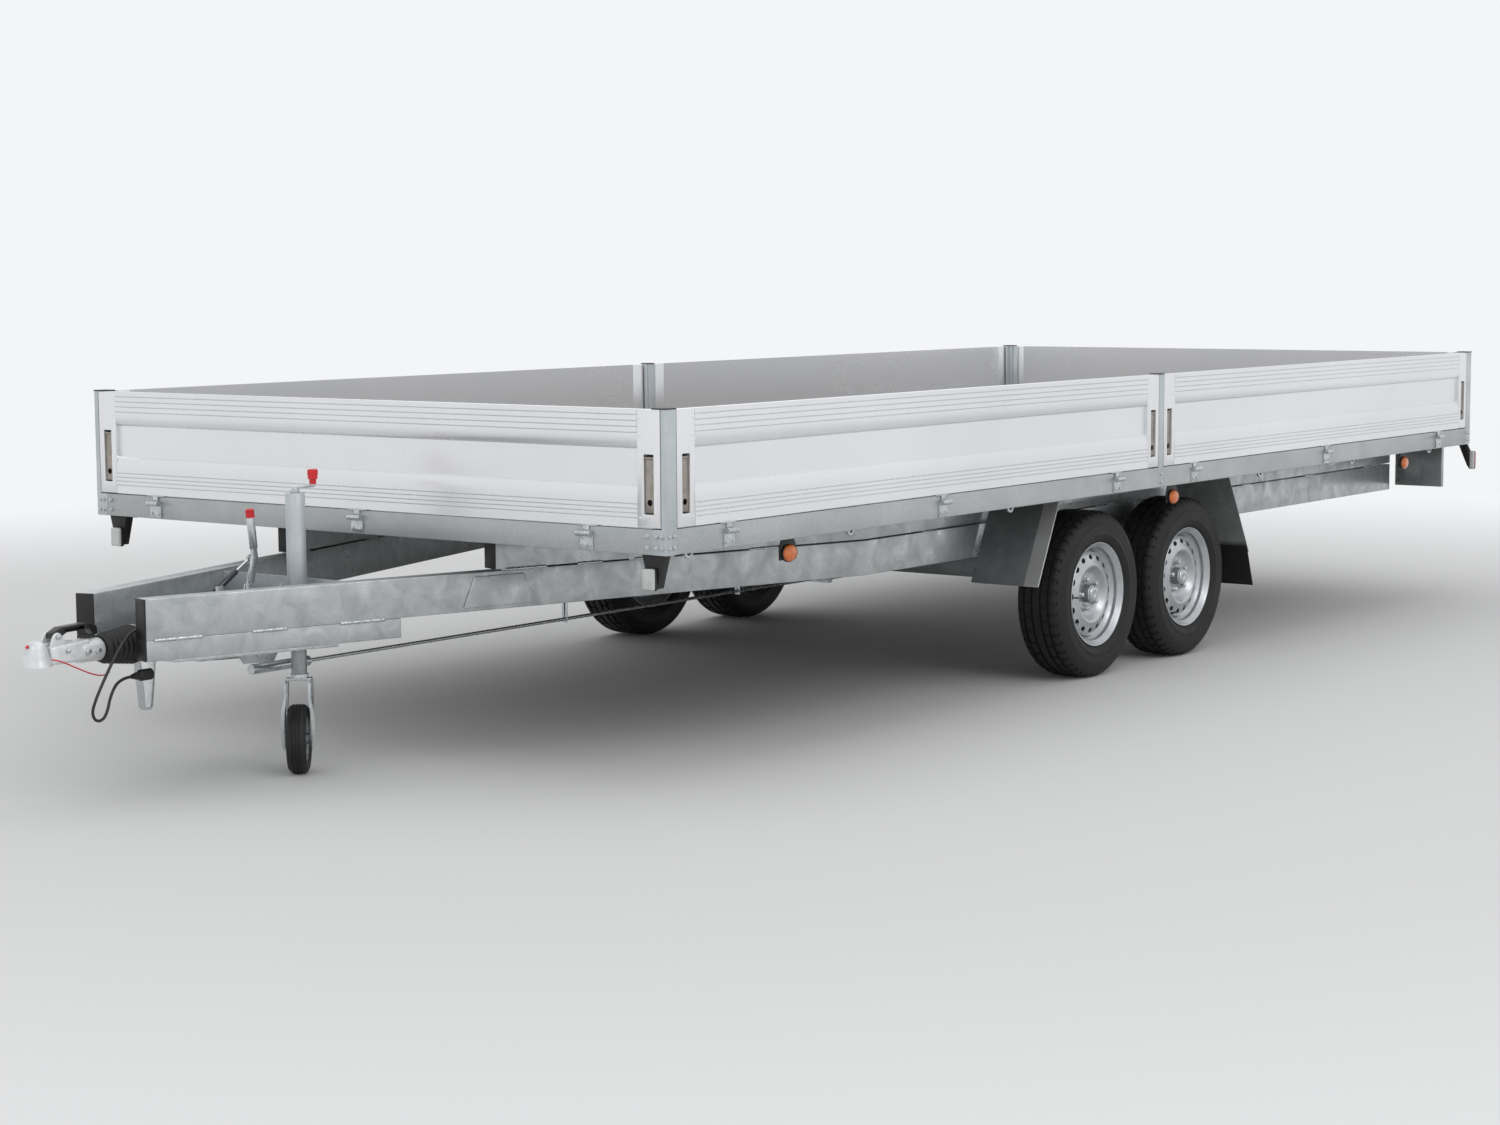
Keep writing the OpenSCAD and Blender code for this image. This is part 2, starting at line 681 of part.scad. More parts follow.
// Steel rim with its vented disc, the brake drum and hub, the wheel bolts and the dust cap.
module rim() {
    t = 3.5;
    outer = [
        [flange_r, rim_half], [flange_r, rim_half - 4], [seat_r, rim_half - 12], [seat_r, 48],
        [160, 36], [160, -36], [seat_r, -48], [seat_r, -rim_half + 12], [flange_r, -rim_half + 4],
        [flange_r, -rim_half]
    ];
    inner = [
        [flange_r - 6, -rim_half], [seat_r - t, -rim_half + 10], [seat_r - t, -46], [160 - t, -34],
        [160 - t, 34], [seat_r - t, 46], [seat_r - t, rim_half - 10], [flange_r - 6, rim_half]
    ];
    rotate_extrude() polygon(concat(outer, inner));
    difference() {
        rotate_extrude() polygon([
            [33, disc_z], [33, disc_z + disc_t], [92, disc_z + disc_t], [112, disc_z + 24],
            [138, disc_z + 24], [160 - t - sit, disc_z + 2], [160 - t - sit, disc_z - 6],
            [138, disc_z + 18], [114, disc_z + 18], [94, disc_z]
        ]);
        for (i = [0 : vent_count - 1]) rotate(i * 360 / vent_count)
            translate([125, 0, disc_z]) cylinder(r = 9, h = 40);
        for (i = [0 : stud_count - 1]) rotate(i * 360 / stud_count)
            translate([stud_pcd_r, 0, disc_z - 1]) cylinder(r = 7.5, h = 12);
    }
    difference() {
        union() {
            translate([0, 0, drum_in]) cylinder(r = drum_r, h = disc_z - sit - drum_in);
            cylinder(r = 32.5, h = disc_z + 32);
        }
        translate([0, 0, drum_in - 1]) cylinder(r = stub_r + fit, h = 52 - drum_in);
        translate([0, 0, drum_in - 1]) difference() {
            cylinder(r = drum_r - 9, h = 60);
            cylinder(r = 36, h = 60);
        }
    }
    translate([0, 0, disc_z + 32 + sit]) rotate_extrude()
        polygon([[0, 0], [31, 0], [31, 4], [27, 10], [16, 14], [0, 15]]);
    for (i = [0 : stud_count - 1]) rotate(i * 360 / stud_count)
        translate([stud_pcd_r, 0, disc_z + disc_t + sit]) {
            cylinder(r = 11, h = 4);
            cylinder(r = 9.5, h = 16, $fn = 6);
        }
}

module rim_front_left() {
    color([0.75, 0.76, 0.77]) at_wheel(front_axle_x, 1) rim();
}

module rim_front_right() {
    color([0.75, 0.76, 0.77]) at_wheel(front_axle_x, -1) rim();
}

module rim_rear_left() {
    color([0.75, 0.76, 0.77]) at_wheel(rear_axle_x, 1) rim();
}

module rim_rear_right() {
    color([0.75, 0.76, 0.77]) at_wheel(rear_axle_x, -1) rim();
}

// Hollow tyre: bead, bulged sidewall, shoulder and tread band.
module tyre() {
    half = tyre_w / 2;
    bead = seat_r + sit;
    tall = tyre_r - seat_r;
    outer = [
        [bead, rim_half - 13], [flange_r + 1, rim_half - 4.6], [flange_r + tall * 0.28, half],
        [flange_r + tall * 0.48, half - 1], [tyre_r - 14, half - 10], [tyre_r - 3, half - 22],
        [tyre_r, half - 34]
    ];
    inner = [
        [tyre_r - 15, half - 36], [tyre_r - 24, half - 20], [flange_r + tall * 0.4, half - 9],
        [flange_r + tall * 0.2, half - 10], [bead + 12, rim_half - 26], [bead, rim_half - 28]
    ];
    rotate_extrude() polygon(concat(
        outer,
        [for (i = [len(outer) - 1 : -1 : 0]) [outer[i][0], -outer[i][1]]],
        [for (i = [len(inner) - 1 : -1 : 0]) [inner[i][0], -inner[i][1]]],
        inner
    ));
}

module tyre_front_left() {
    color([0.09, 0.09, 0.09]) at_wheel(front_axle_x, 1) tyre();
}

module tyre_front_right() {
    color([0.09, 0.09, 0.09]) at_wheel(front_axle_x, -1) tyre();
}

module tyre_rear_left() {
    color([0.09, 0.09, 0.09]) at_wheel(rear_axle_x, 1) tyre();
}

module tyre_rear_right() {
    color([0.09, 0.09, 0.09]) at_wheel(rear_axle_x, -1) tyre();
}

// ---- Drop-side walls ----
// A wall is made along +X from 0, its inner face at y = inner_face and its outer face at y = hw.

// Cross-section of the board: plain foot, ribbed belt, rounded step, flat panel, cove and head.
function board_outline() = [
    [inner_face, 0], [hw, 0], [hw, wall_h * 0.24], [hw - 1, wall_h * 0.3],
    [hw - 6, wall_h * 0.36], [hw - 9, wall_h * 0.38], [hw - 9, wall_h * 0.66],
    [hw - 6, wall_h * 0.72], [hw, wall_h * 0.79], [hw, wall_h], [inner_face, wall_h]
];
module wall(length, hinges) {
    difference() {
        slab_yz([for (p = board_outline()) [p[0], p[1] + wall_z]], end_w + sit, length - end_w - sit);
        for (span = [[0.01, 0.235], [0.25, 0.375], [0.39, 0.65], [0.665, 0.78], [0.8, 0.99]])
            block(end_w - 1, length - end_w + 1, inner_face + skin_t,
                (span[0] > 0.23 && span[0] < 0.7 ? hw - 9 : hw) - skin_t,
                wall_z + wall_h * span[0], wall_z + wall_h * span[1]);
    }
    for (x = [0, length - end_w]) wall_end(x);
    for (d = hinges) translate([d, 0, 0]) wall_leaf();
}

// End profile with the pocket that holds a flush latch.
module wall_end(x) {
    z1 = wall_top - latch_drop;
    mid = x + end_w / 2;
    difference() {
        block(x, x + end_w, inner_face, hw, wall_z, wall_top);
        block(x + 3, mid - latch_w / 2 - 3, inner_face + skin_t, hw - skin_t, wall_z - 1, wall_top + 1);
        block(mid + latch_w / 2 + 3, x + end_w - 3, inner_face + skin_t, hw - skin_t,
            wall_z - 1, wall_top + 1);
        block(mid - latch_w / 2, mid + latch_w / 2, hw - latch_depth, hw + 1, z1 - latch_h, z1);
        rod_x(hw - 8, z1 - 12, mid - latch_w / 2 - 2, mid + latch_w / 2 + 2, latch_pin_r + fit);
    }
}

// Hinge leaf: a plate under the wall's foot, a short web and the middle knuckle.
module wall_leaf() {
    face = hw + run;
    top = wall_z - sit;
    difference() {
        union() {
            translate([0, 0, top - leaf_t + 1]) linear_extrude(leaf_t - 1) polygon([
                [-leaf_w / 2, hw - leaf_under], [leaf_w / 2, hw - leaf_under],
                [leaf_w / 2, face], [leaf_w / 4, face + leaf_t + 3],
                [-leaf_w / 4, face + leaf_t + 3], [-leaf_w / 2, face]
            ]);
            block(-knuckle_len / 2, knuckle_len / 2, face, face + leaf_t, hinge_z, top - 1);
            block(-knuckle_len / 2, knuckle_len / 2, face, hw + hinge_out, hinge_z,
                hinge_z + knuckle_r - 2);
            rod_x(hw + hinge_out, hinge_z, -knuckle_len / 2, knuckle_len / 2, knuckle_r);
        }
        rod_x(hw + hinge_out, hinge_z, -leaf_w, leaf_w, pin_r + fit);
    }
}

// Flush paddle latches at both ends of a wall, turning on their pins.
module latches(length) {
    for (mid = [end_w / 2, length - end_w / 2]) {
        z1 = wall_top - latch_drop;
        half = latch_w / 2 - run;
        difference() {
            union() {
                block(mid - half, mid + half, hw - 9, hw - 5, z1 - latch_h + 14, z1 - 12);
                block(mid - half, mid + half, hw - 14, hw - 9, z1 - 60, z1 - 40);
                rod_x(hw - 8, z1 - 12, mid - half, mid + half, 6);
            }
            translate([mid, hw, z1 - latch_h + 34]) rotate([90, 0, 0]) cylinder(r = 9, h = 20);
        }
        rod_x(hw - 8, z1 - 12, mid - latch_w / 2 - 1.5, mid + latch_w / 2 + 1.5, latch_pin_r);
    }
}

// The walls' places. Side walls run from front to rear, end walls from right to left.
module at_left(x) {
    translate([x, 0, 0]) mirror([1, 0, 0]) children();
}

module at_right(x) {
    mirror([0, 1, 0]) at_left(x) children();
}

module at_front() {
    translate([front_x - hw, end_wall_len / 2, 0]) rotate(-90) children();
}

module at_rear() {
    translate([rear_x + hw, -end_wall_len / 2, 0]) rotate(90) children();
}

module front_wall() {
    color("gainsboro") at_front() wall(end_wall_len, end_hinges);
}

module rear_wall() {
    color("gainsboro") at_rear() wall(end_wall_len, end_hinges);
}

module left_front_wall() {
    color("gainsboro") at_left(front_span) wall(side_wall_len, side_hinges);
}

module left_rear_wall() {
    color("gainsboro") at_left(rear_span) wall(side_wall_len, side_hinges);
}

module right_front_wall() {
    color("gainsboro") at_right(front_span) wall(side_wall_len, side_hinges);
}

module right_rear_wall() {
    color("gainsboro") at_right(rear_span) wall(side_wall_len, side_hinges);
}

module front_wall_latches() {
    color("silver") at_front() latches(end_wall_len);
}

module rear_wall_latches() {
    color("silver") at_rear() latches(end_wall_len);
}

module left_front_wall_latches() {
    color("silver") at_left(front_span) latches(side_wall_len);
}

module left_rear_wall_latches() {
    color("silver") at_left(rear_span) latches(side_wall_len);
}

module right_front_wall_latches() {
    color("silver") at_right(front_span) latches(side_wall_len);
}

module right_rear_wall_latches() {
    color("silver") at_right(rear_span) latches(side_wall_len);
}

// ---- Overrun device and coupling ----

module overrun_housing() {
    color([0.68, 0.69, 0.7]) {
        difference() {
            union() {
                block(housing_x0, housing_x1, -housing_half, housing_half,
                    plate_z + plate_t, housing_top);
                rod_x(0, draw_z, housing_x1 - 1, housing_x1 + 1, 58);
                translate([0, 0, plate_z]) linear_extrude(plate_t) polygon([
                    slant(90, 8), slant(620, 8), [slant(620, 8)[0], -slant(620, 8)[1]],
                    [slant(90, 8)[0], -slant(90, 8)[1]]
                ]);
                // Ears of the handbrake lever and the foot of its strut.
                for (y = [lever_y - lever_t / 2 - run - 5, lever_y + lever_t / 2 + run])
                    slab_xz([[lever_a[0] - 30, housing_top - 5], [lever_a[0] + 30, housing_top - 5],
                        [lever_a[0] + 12, lever_a[1] + 14], [lever_a[0] - 12, lever_a[1] + 14]],
                        y, y + 5);
                block(strut_b[0] - 14, strut_b[0] + 14, strut_y + strut_r + run,
                    strut_y + strut_r + run + 5, housing_top - 5, strut_b[1] + 12);
                rod_y(strut_b[0], strut_b[1], strut_y - 6, strut_y + strut_r + 3, rod_r);
                // Cheeks and cover of the brake linkage under the plate.
                for (y = [-70, 62]) slab_xz([[front_x + 400, plate_z], [front_x + 600, plate_z],
                    [front_x + 560, 352], [front_x + 440, 345]], y, y + 8);
                slab_xz([[front_x + 440, plate_z], [front_x + 760, plate_z], [front_x + 700, 372],
                    [front_x + 460, 366]], -30, 30);
                // Cable gland on the front end.
                block(housing_x1 - 30, housing_x1, housing_half - 1, 92, 492, 520);
                rod_x(power_route[0][1], power_route[0][2], housing_x1 - 2, front_x + 935.5, 9);
                // Hanging stirrup of flat bar under the front of the plate.
                stirrup();
            }
            rod_x(0, draw_z, housing_x0 - 1, housing_x1 + 2, draw_r + fit);
            rod_y(lever_a[0], lever_a[1], lever_y - 20, lever_y + 20, 6 + fit);
        }
        for (y = [-74.2, 70.2]) rod_y(front_x + 500, 374, y, y + 4, 9);
    }
}

module stirrup() {
    mid = front_x + 886;
    low = 250;
    difference() {
        slab_xz([[mid - 31, plate_z + 1], [mid + 31, plate_z + 1], [mid + 15, low + 8], [mid + 8, low],
            [mid - 8, low], [mid - 15, low + 8]], -15, 15);
        slab_xz([[mid - 28, plate_z + 2], [mid + 28, plate_z + 2], [mid + 12, low + 10],
            [mid + 6, low + 3], [mid - 6, low + 3], [mid - 12, low + 10]], -16, 16);
    }
}

module brake_rod() {
    rod_rear = front_axle_x + pivot_dx + 60;
    color([0.6, 0.61, 0.62]) {
        rod_x(0, tube_bottom_z - 12, front_x + 230, front_x + 470, 16);
        rod_x(0, rod_z, rod_rear, front_x + 230, brake_rod_r);
        block(rod_rear - 30, rod_rear, -60, 60, rod_z - 14, rod_z + 14);
        both_sides() rod_x(45, rod_z, rod_rear - 120, rod_rear - 30, 5);
        for (d = [1000, 2000]) difference() {
            block(front_x - d - 2, front_x - d + 2, -12, 12, rod_z - 12, rail_top_z - deck_t - sit);
            rod_x(0, rod_z, front_x - d - 3, front_x - d + 3, brake_rod_r);
        }
    }
}

module overrun_tube() {
    color([0.7, 0.71, 0.72]) difference() {
        rod_x(0, draw_z, housing_x0 + 95, sleeve_x + 90, draw_r);
        rod_x(0, draw_z, housing_x0 + 94, sleeve_x + 91, draw_r - 5);
    }
}

// Corrugated rubber sleeve, larger towards the housing.
module bellows() {
    folds = 7;
    pitch = (bellows_x1 - bellows_x0) / folds;
    outer = [for (i = [0 : folds - 1]) each [
        [56 - i * 2.2, i * pitch], [60 - i * 2.2, (i + 0.5) * pitch]
    ]];
    inner = [for (i = [folds - 1 : -1 : 0]) each [
        [57 - i * 2.2, (i + 0.5) * pitch], [53 - i * 2.2, i * pitch]
    ]];
    color([0.08, 0.08, 0.09]) translate([bellows_x0, 0, draw_z]) rotate([0, 90, 0])
        rotate_extrude() polygon(concat(
            outer, [[42, folds * pitch], [34, folds * pitch], [34, folds * pitch - 4]], inner
        ));
}

// Cast ball coupling: sleeve, neck and the hollow head around the ball.
module coupling_head() {
    neck = 62;
    color([0.88, 0.88, 0.87]) difference() {
        union() {
            rod_x(0, draw_z, sleeve_x, sleeve_x + 95, 33);
            translate([0, 0, draw_z - 22]) linear_extrude(58) {
                translate([ball_x, 0]) circle(head_r);
                polygon([[sleeve_x + 60, -29], [sleeve_x + 60, 29], [ball_x - 40, 40],
                    [ball_x, head_r], [ball_x, -head_r], [ball_x - 40, -40]]);
            }
            translate([ball_x, 0, draw_z + 36]) rotate_extrude()
                polygon([[0, 0], [40, 0], [34, 10], [22, 16], [0, 18]]);
            for (y = [-26, 16 + run]) link_xz([grip_x, grip_z], [grip_x, draw_z + 20], 14, 22,
                y, y + 9.5);
            translate([ball_x, 0, draw_z - 26]) cylinder(r = head_r, h = 5);
        }
        rod_x(0, draw_z, sleeve_x - 1, sleeve_x + 92, draw_r + sit);
        translate([ball_x, 0, draw_z]) sphere(r = ball_d / 2 + 0.3);
        translate([ball_x, 0, draw_z - neck]) cylinder(r = ball_d / 2 + 0.3, h = neck);
        rod_y(grip_x, grip_z, -40, 40, 4 + fit);
    }
}

module coupling_handle() {
    grip_half = 15;
    color([0.08, 0.08, 0.08]) {
        difference() {
            slab_xz([
                [grip_x - 8, grip_z - 9], [grip_x + 10, grip_z - 4], [grip_x + 8, grip_z + 10],
                [grip_x - 20, grip_z + 24], [grip_x - 110, grip_z + 28], [grip_x - 148, grip_z + 16],
                [grip_x - 150, grip_z - 6], [grip_x - 138, grip_z - 8], [grip_x - 122, grip_z + 10],
                [grip_x - 40, grip_z + 8]
            ], -grip_half, grip_half);
            slab_xz([[grip_x - 104, grip_z + 12], [grip_x - 34, grip_z + 11],
                [grip_x - 30, grip_z + 18], [grip_x - 104, grip_z + 22]], -8, grip_half + 1);
        }
        rod_y(grip_x, grip_z, -26, 26, 4);
    }
}

module handbrake_lever() {
    y0 = lever_y - lever_t / 2;
    y1 = lever_y + lever_t / 2;
    grip_start = [lever_c[0] + 3, lever_c[1] + 34];
    color([0.8, 0.81, 0.82]) {
        link_xz(lever_a, lever_c, 13, 12, y0, y1);
        link_xz(lever_c, grip_start, 11, 9, y0, y1);
        rod_y(lever_a[0], lever_a[1], y0 - 6, y1 + 6, 6);
        rod_y(lever_c[0], lever_c[1], strut_y - 8, y0, rod_r);
        translate([grip_start[0], lever_y, grip_start[1]])
            rotate([0, atan2(lever_tip[0] - grip_start[0], lever_tip[1] - grip_start[1]), 0])
                translate([0, 0, -4]) cylinder(r = 12.5, h = norm(lever_tip - grip_start) + 4);
    }
}

// Places a shape made along +X from the strut's foot towards the lever.
module at_strut() {
    translate([strut_b[0], strut_y, strut_b[1]]) rotate([0, -strut_angle, 0]) children();
}

module gas_strut_cylinder() {
    color([0.1, 0.11, 0.2]) at_strut() difference() {
        union() {
            rod_y(0, 0, -5, 5, eye_r);
            rod_x(0, 0, 6, strut_mouth, strut_r);
        }
        rod_y(0, 0, -6, 6, rod_r + fit);
        rod_x(0, 0, 14, strut_mouth + 1, rod_r + fit);
    }
}

module gas_strut_rod() {
    color([0.8, 0.81, 0.82]) at_strut() difference() {
        union() {
            rod_x(0, 0, strut_mouth - 22, strut_len - 8, rod_r);
            rod_y(strut_len, 0, -4, 4, 11);
        }
        rod_y(strut_len, 0, -5, 5, rod_r + 3);
    }
}

// ---- Jockey wheel ----

module jockey_clamp() {
    x0 = jockey_x - 50;
    reach = beam_front_y + (front_x + beam_reach - x0) * tan(bend_angle) - beam_w / cos(bend_angle);
    color([0.68, 0.69, 0.7]) {
        difference() {
            union() {
                block(x0 - 8, x0, -reach + 1, reach - 1, beam_z + 8, beam_z + beam_h - 8);
                block(x0, jockey_x, jockey_y - 36, jockey_y + 36, beam_z + 20, beam_z + 80);
                translate([jockey_x, jockey_y, beam_z + 20]) cylinder(r = jockey_tube_r + 8, h = 60);
            }
            translate([jockey_x, jockey_y, beam_z]) cylinder(r = jockey_tube_r + fit, h = beam_h);
        }
        rod_y(x0 + 22, beam_z + 50, jockey_y - 92, jockey_y - 36 - sit, 7);
        block(x0 + 15, x0 + 29, jockey_y - 104, jockey_y - 92, beam_z + 10, beam_z + 90);
    }
}

module jockey_outer_tube() {
    color([0.74, 0.75, 0.76]) translate([jockey_x, jockey_y, 0]) difference() {
        translate([0, 0, jockey_low]) cylinder(r = jockey_tube_r, h = jockey_top - jockey_low);
        translate([0, 0, jockey_low + 40])
            cylinder(r = jockey_tube_r - 3, h = jockey_top - jockey_low - 45);
        translate([0, 0, jockey_low - 1]) cylinder(r = jockey_inner_r + fit, h = 50);
        translate([0, 0, jockey_top - 10]) cylinder(r = 9 + fit, h = 20);
    }
}

module jockey_inner_tube() {
    color([0.74, 0.75, 0.76]) translate([jockey_x, jockey_y, 0]) difference() {
        translate([0, 0, crown_z + run]) cylinder(r = jockey_inner_r, h = 330);
        translate([0, 0, crown_z + 20]) cylinder(r = jockey_inner_r - 4, h = 320);
        translate([0, 0, crown_z - 1]) cylinder(r = 10 + fit, h = 30);
    }
}

module jockey_fork() {
    color([0.78, 0.79, 0.8]) translate([jockey_x, jockey_y, 0]) rotate(caster_turn) {
        translate([0, 0, crown_z - 20]) cylinder(r = 28, h = 20);
        translate([0, 0, crown_z - 1]) cylinder(r = 10, h = 18);
        block(-24, 24, -fork_half - fork_t, fork_half + fork_t, crown_z - 20, crown_z - 12);
        for (y = [-fork_half - fork_t, fork_half])
            link_xz([0, crown_z - 34], [jockey_trail, jockey_r], 24, 18, y, y + fork_t);
        rod_y(jockey_trail, jockey_r, -fork_half - fork_t - 6, fork_half + fork_t + 6, 6);
    }
}

module jockey_wheel() {
    half = jockey_w / 2;
    color([0.1, 0.1, 0.1])
        translate([jockey_x, jockey_y, jockey_r]) rotate(caster_turn)
        translate([jockey_trail, 0, 0]) rotate([-90, 0, 0]) {
            rotate_extrude() polygon([
                [70, -half + 6], [jockey_r - 12, -half], [jockey_r - 3, -half + 8], [jockey_r, -half + 16],
                [jockey_r, half - 16], [jockey_r - 3, half - 8], [jockey_r - 12, half], [70, half - 6]
            ]);
            rotate_extrude() polygon([
                [6 + fit, -half - 3], [18, -half - 3], [18, -4], [58, -4], [60, -half + 7], [70 - sit, -half + 7],
                [70 - sit, half - 7], [60, half - 7], [58, 4], [18, 4], [18, half + 3], [6 + fit, half + 3]
            ]);
        }
}

module jockey_crank() {
    color([0.8, 0.81, 0.82]) translate([jockey_x, jockey_y, jockey_top]) {
        translate([0, 0, -110]) cylinder(r = 9, h = 128);
        rotate(crank_turn) {
            translate([0, -7, 12]) cube([crank_arm, 14, 6]);
            translate([crank_arm, 0, 12]) cylinder(r = 7, h = 26);
            translate([crank_arm, 0, 38]) cylinder(r = knob_r + 3, h = 28);
        }
        cylinder(r = 14, h = 12);
    }
}

// ---- Cords ----

module power_cable() {
    color([0.05, 0.05, 0.05]) cord(smooth(power_route, 2), power_r, 8);
}

module plug() {
    last = power_route[len(power_route) - 1];
    color([0.08, 0.08, 0.08]) {
        rod_x(last[1], last[2], front_x + last[0] - 26, front_x + last[0] - run, 9);
        rod_x(last[1], last[2], front_x + last[0] - 72, front_x + last[0] - 26, 17);
    }
}

module breakaway_cable() {
    color("red") cord(smooth(breakaway_route, 2), breakaway_r, 8);
}

main_beam_left();
main_beam_right();
upper_beams();
drawbar_stiffeners();
plastic_caps();
side_rails();
end_rails();
cross_members();
deck();
posts();
rail_hardware();
hinge_brackets();
axle_tubes();
mudguards();
mud_flaps();
marker_lamps();
rear_lamps();
lamp_brackets();
overrun_housing();
brake_rod();
power_cable();
plug();
breakaway_cable();
jockey_clamp();
front_wall();
rear_wall();
left_front_wall();
left_rear_wall();
right_front_wall();
right_rear_wall();
front_wall_latches();
rear_wall_latches();
left_front_wall_latches();
left_rear_wall_latches();
right_front_wall_latches();
right_rear_wall_latches();
arm_front_left();
arm_front_right();
arm_rear_left();
arm_rear_right();
rim_front_left();
rim_front_right();
rim_rear_left();
rim_rear_right();
tyre_front_left();
tyre_front_right();
tyre_rear_left();
tyre_rear_right();
overrun_tube();
bellows();
coupling_head();
coupling_handle();
handbrake_lever();
gas_strut_cylinder();
gas_strut_rod();
jockey_outer_tube();
jockey_inner_tube();
jockey_fork();
jockey_wheel();
jockey_crank();
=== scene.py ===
"""Visual model of a tandem-axle platform trailer with aluminium drop-side walls.

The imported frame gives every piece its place. The classes below build the sub-assemblies
around it: walls, road wheels, chassis, lamps, coupling, jockey wheel, cables and the studio.
"""

import json
import logging
import math
from dataclasses import dataclass, field
from enum import Enum
from typing import Any, Callable, Iterable, Sequence

import bpy
from mathutils import Matrix, Vector

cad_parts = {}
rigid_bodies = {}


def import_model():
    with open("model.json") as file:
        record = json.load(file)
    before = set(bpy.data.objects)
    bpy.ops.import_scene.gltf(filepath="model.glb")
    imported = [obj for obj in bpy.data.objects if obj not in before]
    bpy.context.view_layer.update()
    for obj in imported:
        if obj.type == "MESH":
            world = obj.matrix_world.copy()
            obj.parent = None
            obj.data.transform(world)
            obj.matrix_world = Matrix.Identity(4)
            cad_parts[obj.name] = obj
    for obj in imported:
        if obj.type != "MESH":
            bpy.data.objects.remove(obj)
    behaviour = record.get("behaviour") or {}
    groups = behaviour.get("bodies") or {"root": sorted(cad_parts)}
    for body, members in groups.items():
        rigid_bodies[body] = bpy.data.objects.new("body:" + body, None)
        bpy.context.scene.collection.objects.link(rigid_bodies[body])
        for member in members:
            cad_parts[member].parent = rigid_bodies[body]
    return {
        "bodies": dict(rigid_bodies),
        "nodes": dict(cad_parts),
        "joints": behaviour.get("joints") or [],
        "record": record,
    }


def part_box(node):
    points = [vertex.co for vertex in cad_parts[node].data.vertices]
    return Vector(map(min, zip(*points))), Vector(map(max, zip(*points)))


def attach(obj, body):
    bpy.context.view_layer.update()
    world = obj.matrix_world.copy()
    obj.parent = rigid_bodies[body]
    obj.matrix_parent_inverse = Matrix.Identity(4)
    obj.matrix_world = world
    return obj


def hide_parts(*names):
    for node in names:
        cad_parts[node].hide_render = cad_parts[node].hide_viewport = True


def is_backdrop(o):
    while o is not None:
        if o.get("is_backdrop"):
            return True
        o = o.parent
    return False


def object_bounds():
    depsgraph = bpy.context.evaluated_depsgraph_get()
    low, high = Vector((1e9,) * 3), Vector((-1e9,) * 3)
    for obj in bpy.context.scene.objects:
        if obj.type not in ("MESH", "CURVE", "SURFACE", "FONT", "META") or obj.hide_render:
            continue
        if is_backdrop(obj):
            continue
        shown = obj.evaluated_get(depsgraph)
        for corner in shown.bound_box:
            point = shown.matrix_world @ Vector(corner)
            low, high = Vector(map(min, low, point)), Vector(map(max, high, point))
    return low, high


LOG = logging.getLogger("trailer")
MM = 0.001
Point = tuple[float, float]


# ---- Finishes ----------------------------------------------------------------------------------


class Grain(Enum):
    """How a surface was made, which decides its pattern."""

    MOULDED = "moulded"
    EXTRUDED_X = "extruded along X"
    EXTRUDED_Y = "extruded along Y"
    SPANGLED = "hot-dip galvanised"
    PLATED = "bright zinc plated"
    CAST = "cast and painted"
    SPRAYED = "sprayed metallic paint"
    PLY = "film-faced plywood"
    LENS = "ribbed lens"


@dataclass(frozen=True)
class Finish:
    """One material: its real name, colours and the sizes of its pattern."""

    name: str
    colour: str
    second: str
    grain: Grain
    metallic: float = 0.0
    rough: float = 0.5
    rough_spread: float = 0.08
    grain_mm: float = 1.0
    patch_mm: float = 120.0
    bump: float = 0.05
    coat: float = 0.0
    clear: float = 0.0


# Natural anodised aluminium: pale, satin, with faint die lines along the extrusion.
WALL_X = Finish("anodised_aluminium_x", "#e6e7e8", "#e0e2e3", Grain.EXTRUDED_X, 0.72, 0.28, 0.02,
                grain_mm=2.0, patch_mm=900.0, bump=0.015)
WALL_Y = Finish("anodised_aluminium_y", "#e6e7e8", "#e0e2e3", Grain.EXTRUDED_Y, 0.72, 0.28, 0.02,
                grain_mm=2.0, patch_mm=900.0, bump=0.015)
# Galvanised sheet: cool grey with soft zinc flowers.
POST_ZINC = Finish("galvanised_post", "#c3c9cc", "#b4bbbe", Grain.SPANGLED, 0.6, 0.4,
                   grain_mm=9.0, patch_mm=160.0, bump=0.03)
RAIL_ZINC = Finish("galvanised_rail", "#b3b6b6", "#a6aaaa", Grain.SPANGLED, 0.6, 0.42,
                   grain_mm=9.0, patch_mm=260.0, bump=0.02)
# Hot-dip galvanised box section: blotchy, half matt, with bright runs.
BEAM_ZINC = Finish("galvanised_beam", "#c3c6c7", "#a5a9ab", Grain.SPANGLED, 0.75, 0.34, 0.12,
                   grain_mm=5.0, patch_mm=70.0, bump=0.05)
AXLE_ZINC = Finish("galvanised_axle", "#8d9192", "#757a7b", Grain.SPANGLED, 0.6, 0.48,
                   grain_mm=6.0, patch_mm=80.0, bump=0.06)
GUARD_ZINC = Finish("galvanised_sheet", "#a9adad", "#8b9090", Grain.SPANGLED, 0.7, 0.34, 0.12,
                    grain_mm=10.0, patch_mm=90.0, bump=0.03)
PLATE_ZINC = Finish("bright_zinc_plate", "#cdd1d2", "#b4b9bb", Grain.PLATED, 0.9, 0.26,
                    grain_mm=1.2, patch_mm=30.0, bump=0.02)
LATCH_STEEL = Finish("stainless_latch", "#a79f97", "#8c847d", Grain.PLATED, 0.9, 0.3,
                     grain_mm=1.0, patch_mm=40.0, bump=0.02)
CAST_WHITE = Finish("painted_casting", "#d9dbdb", "#c6c9ca", Grain.CAST, 0.35, 0.4,
                    grain_mm=1.6, patch_mm=25.0, bump=0.10)
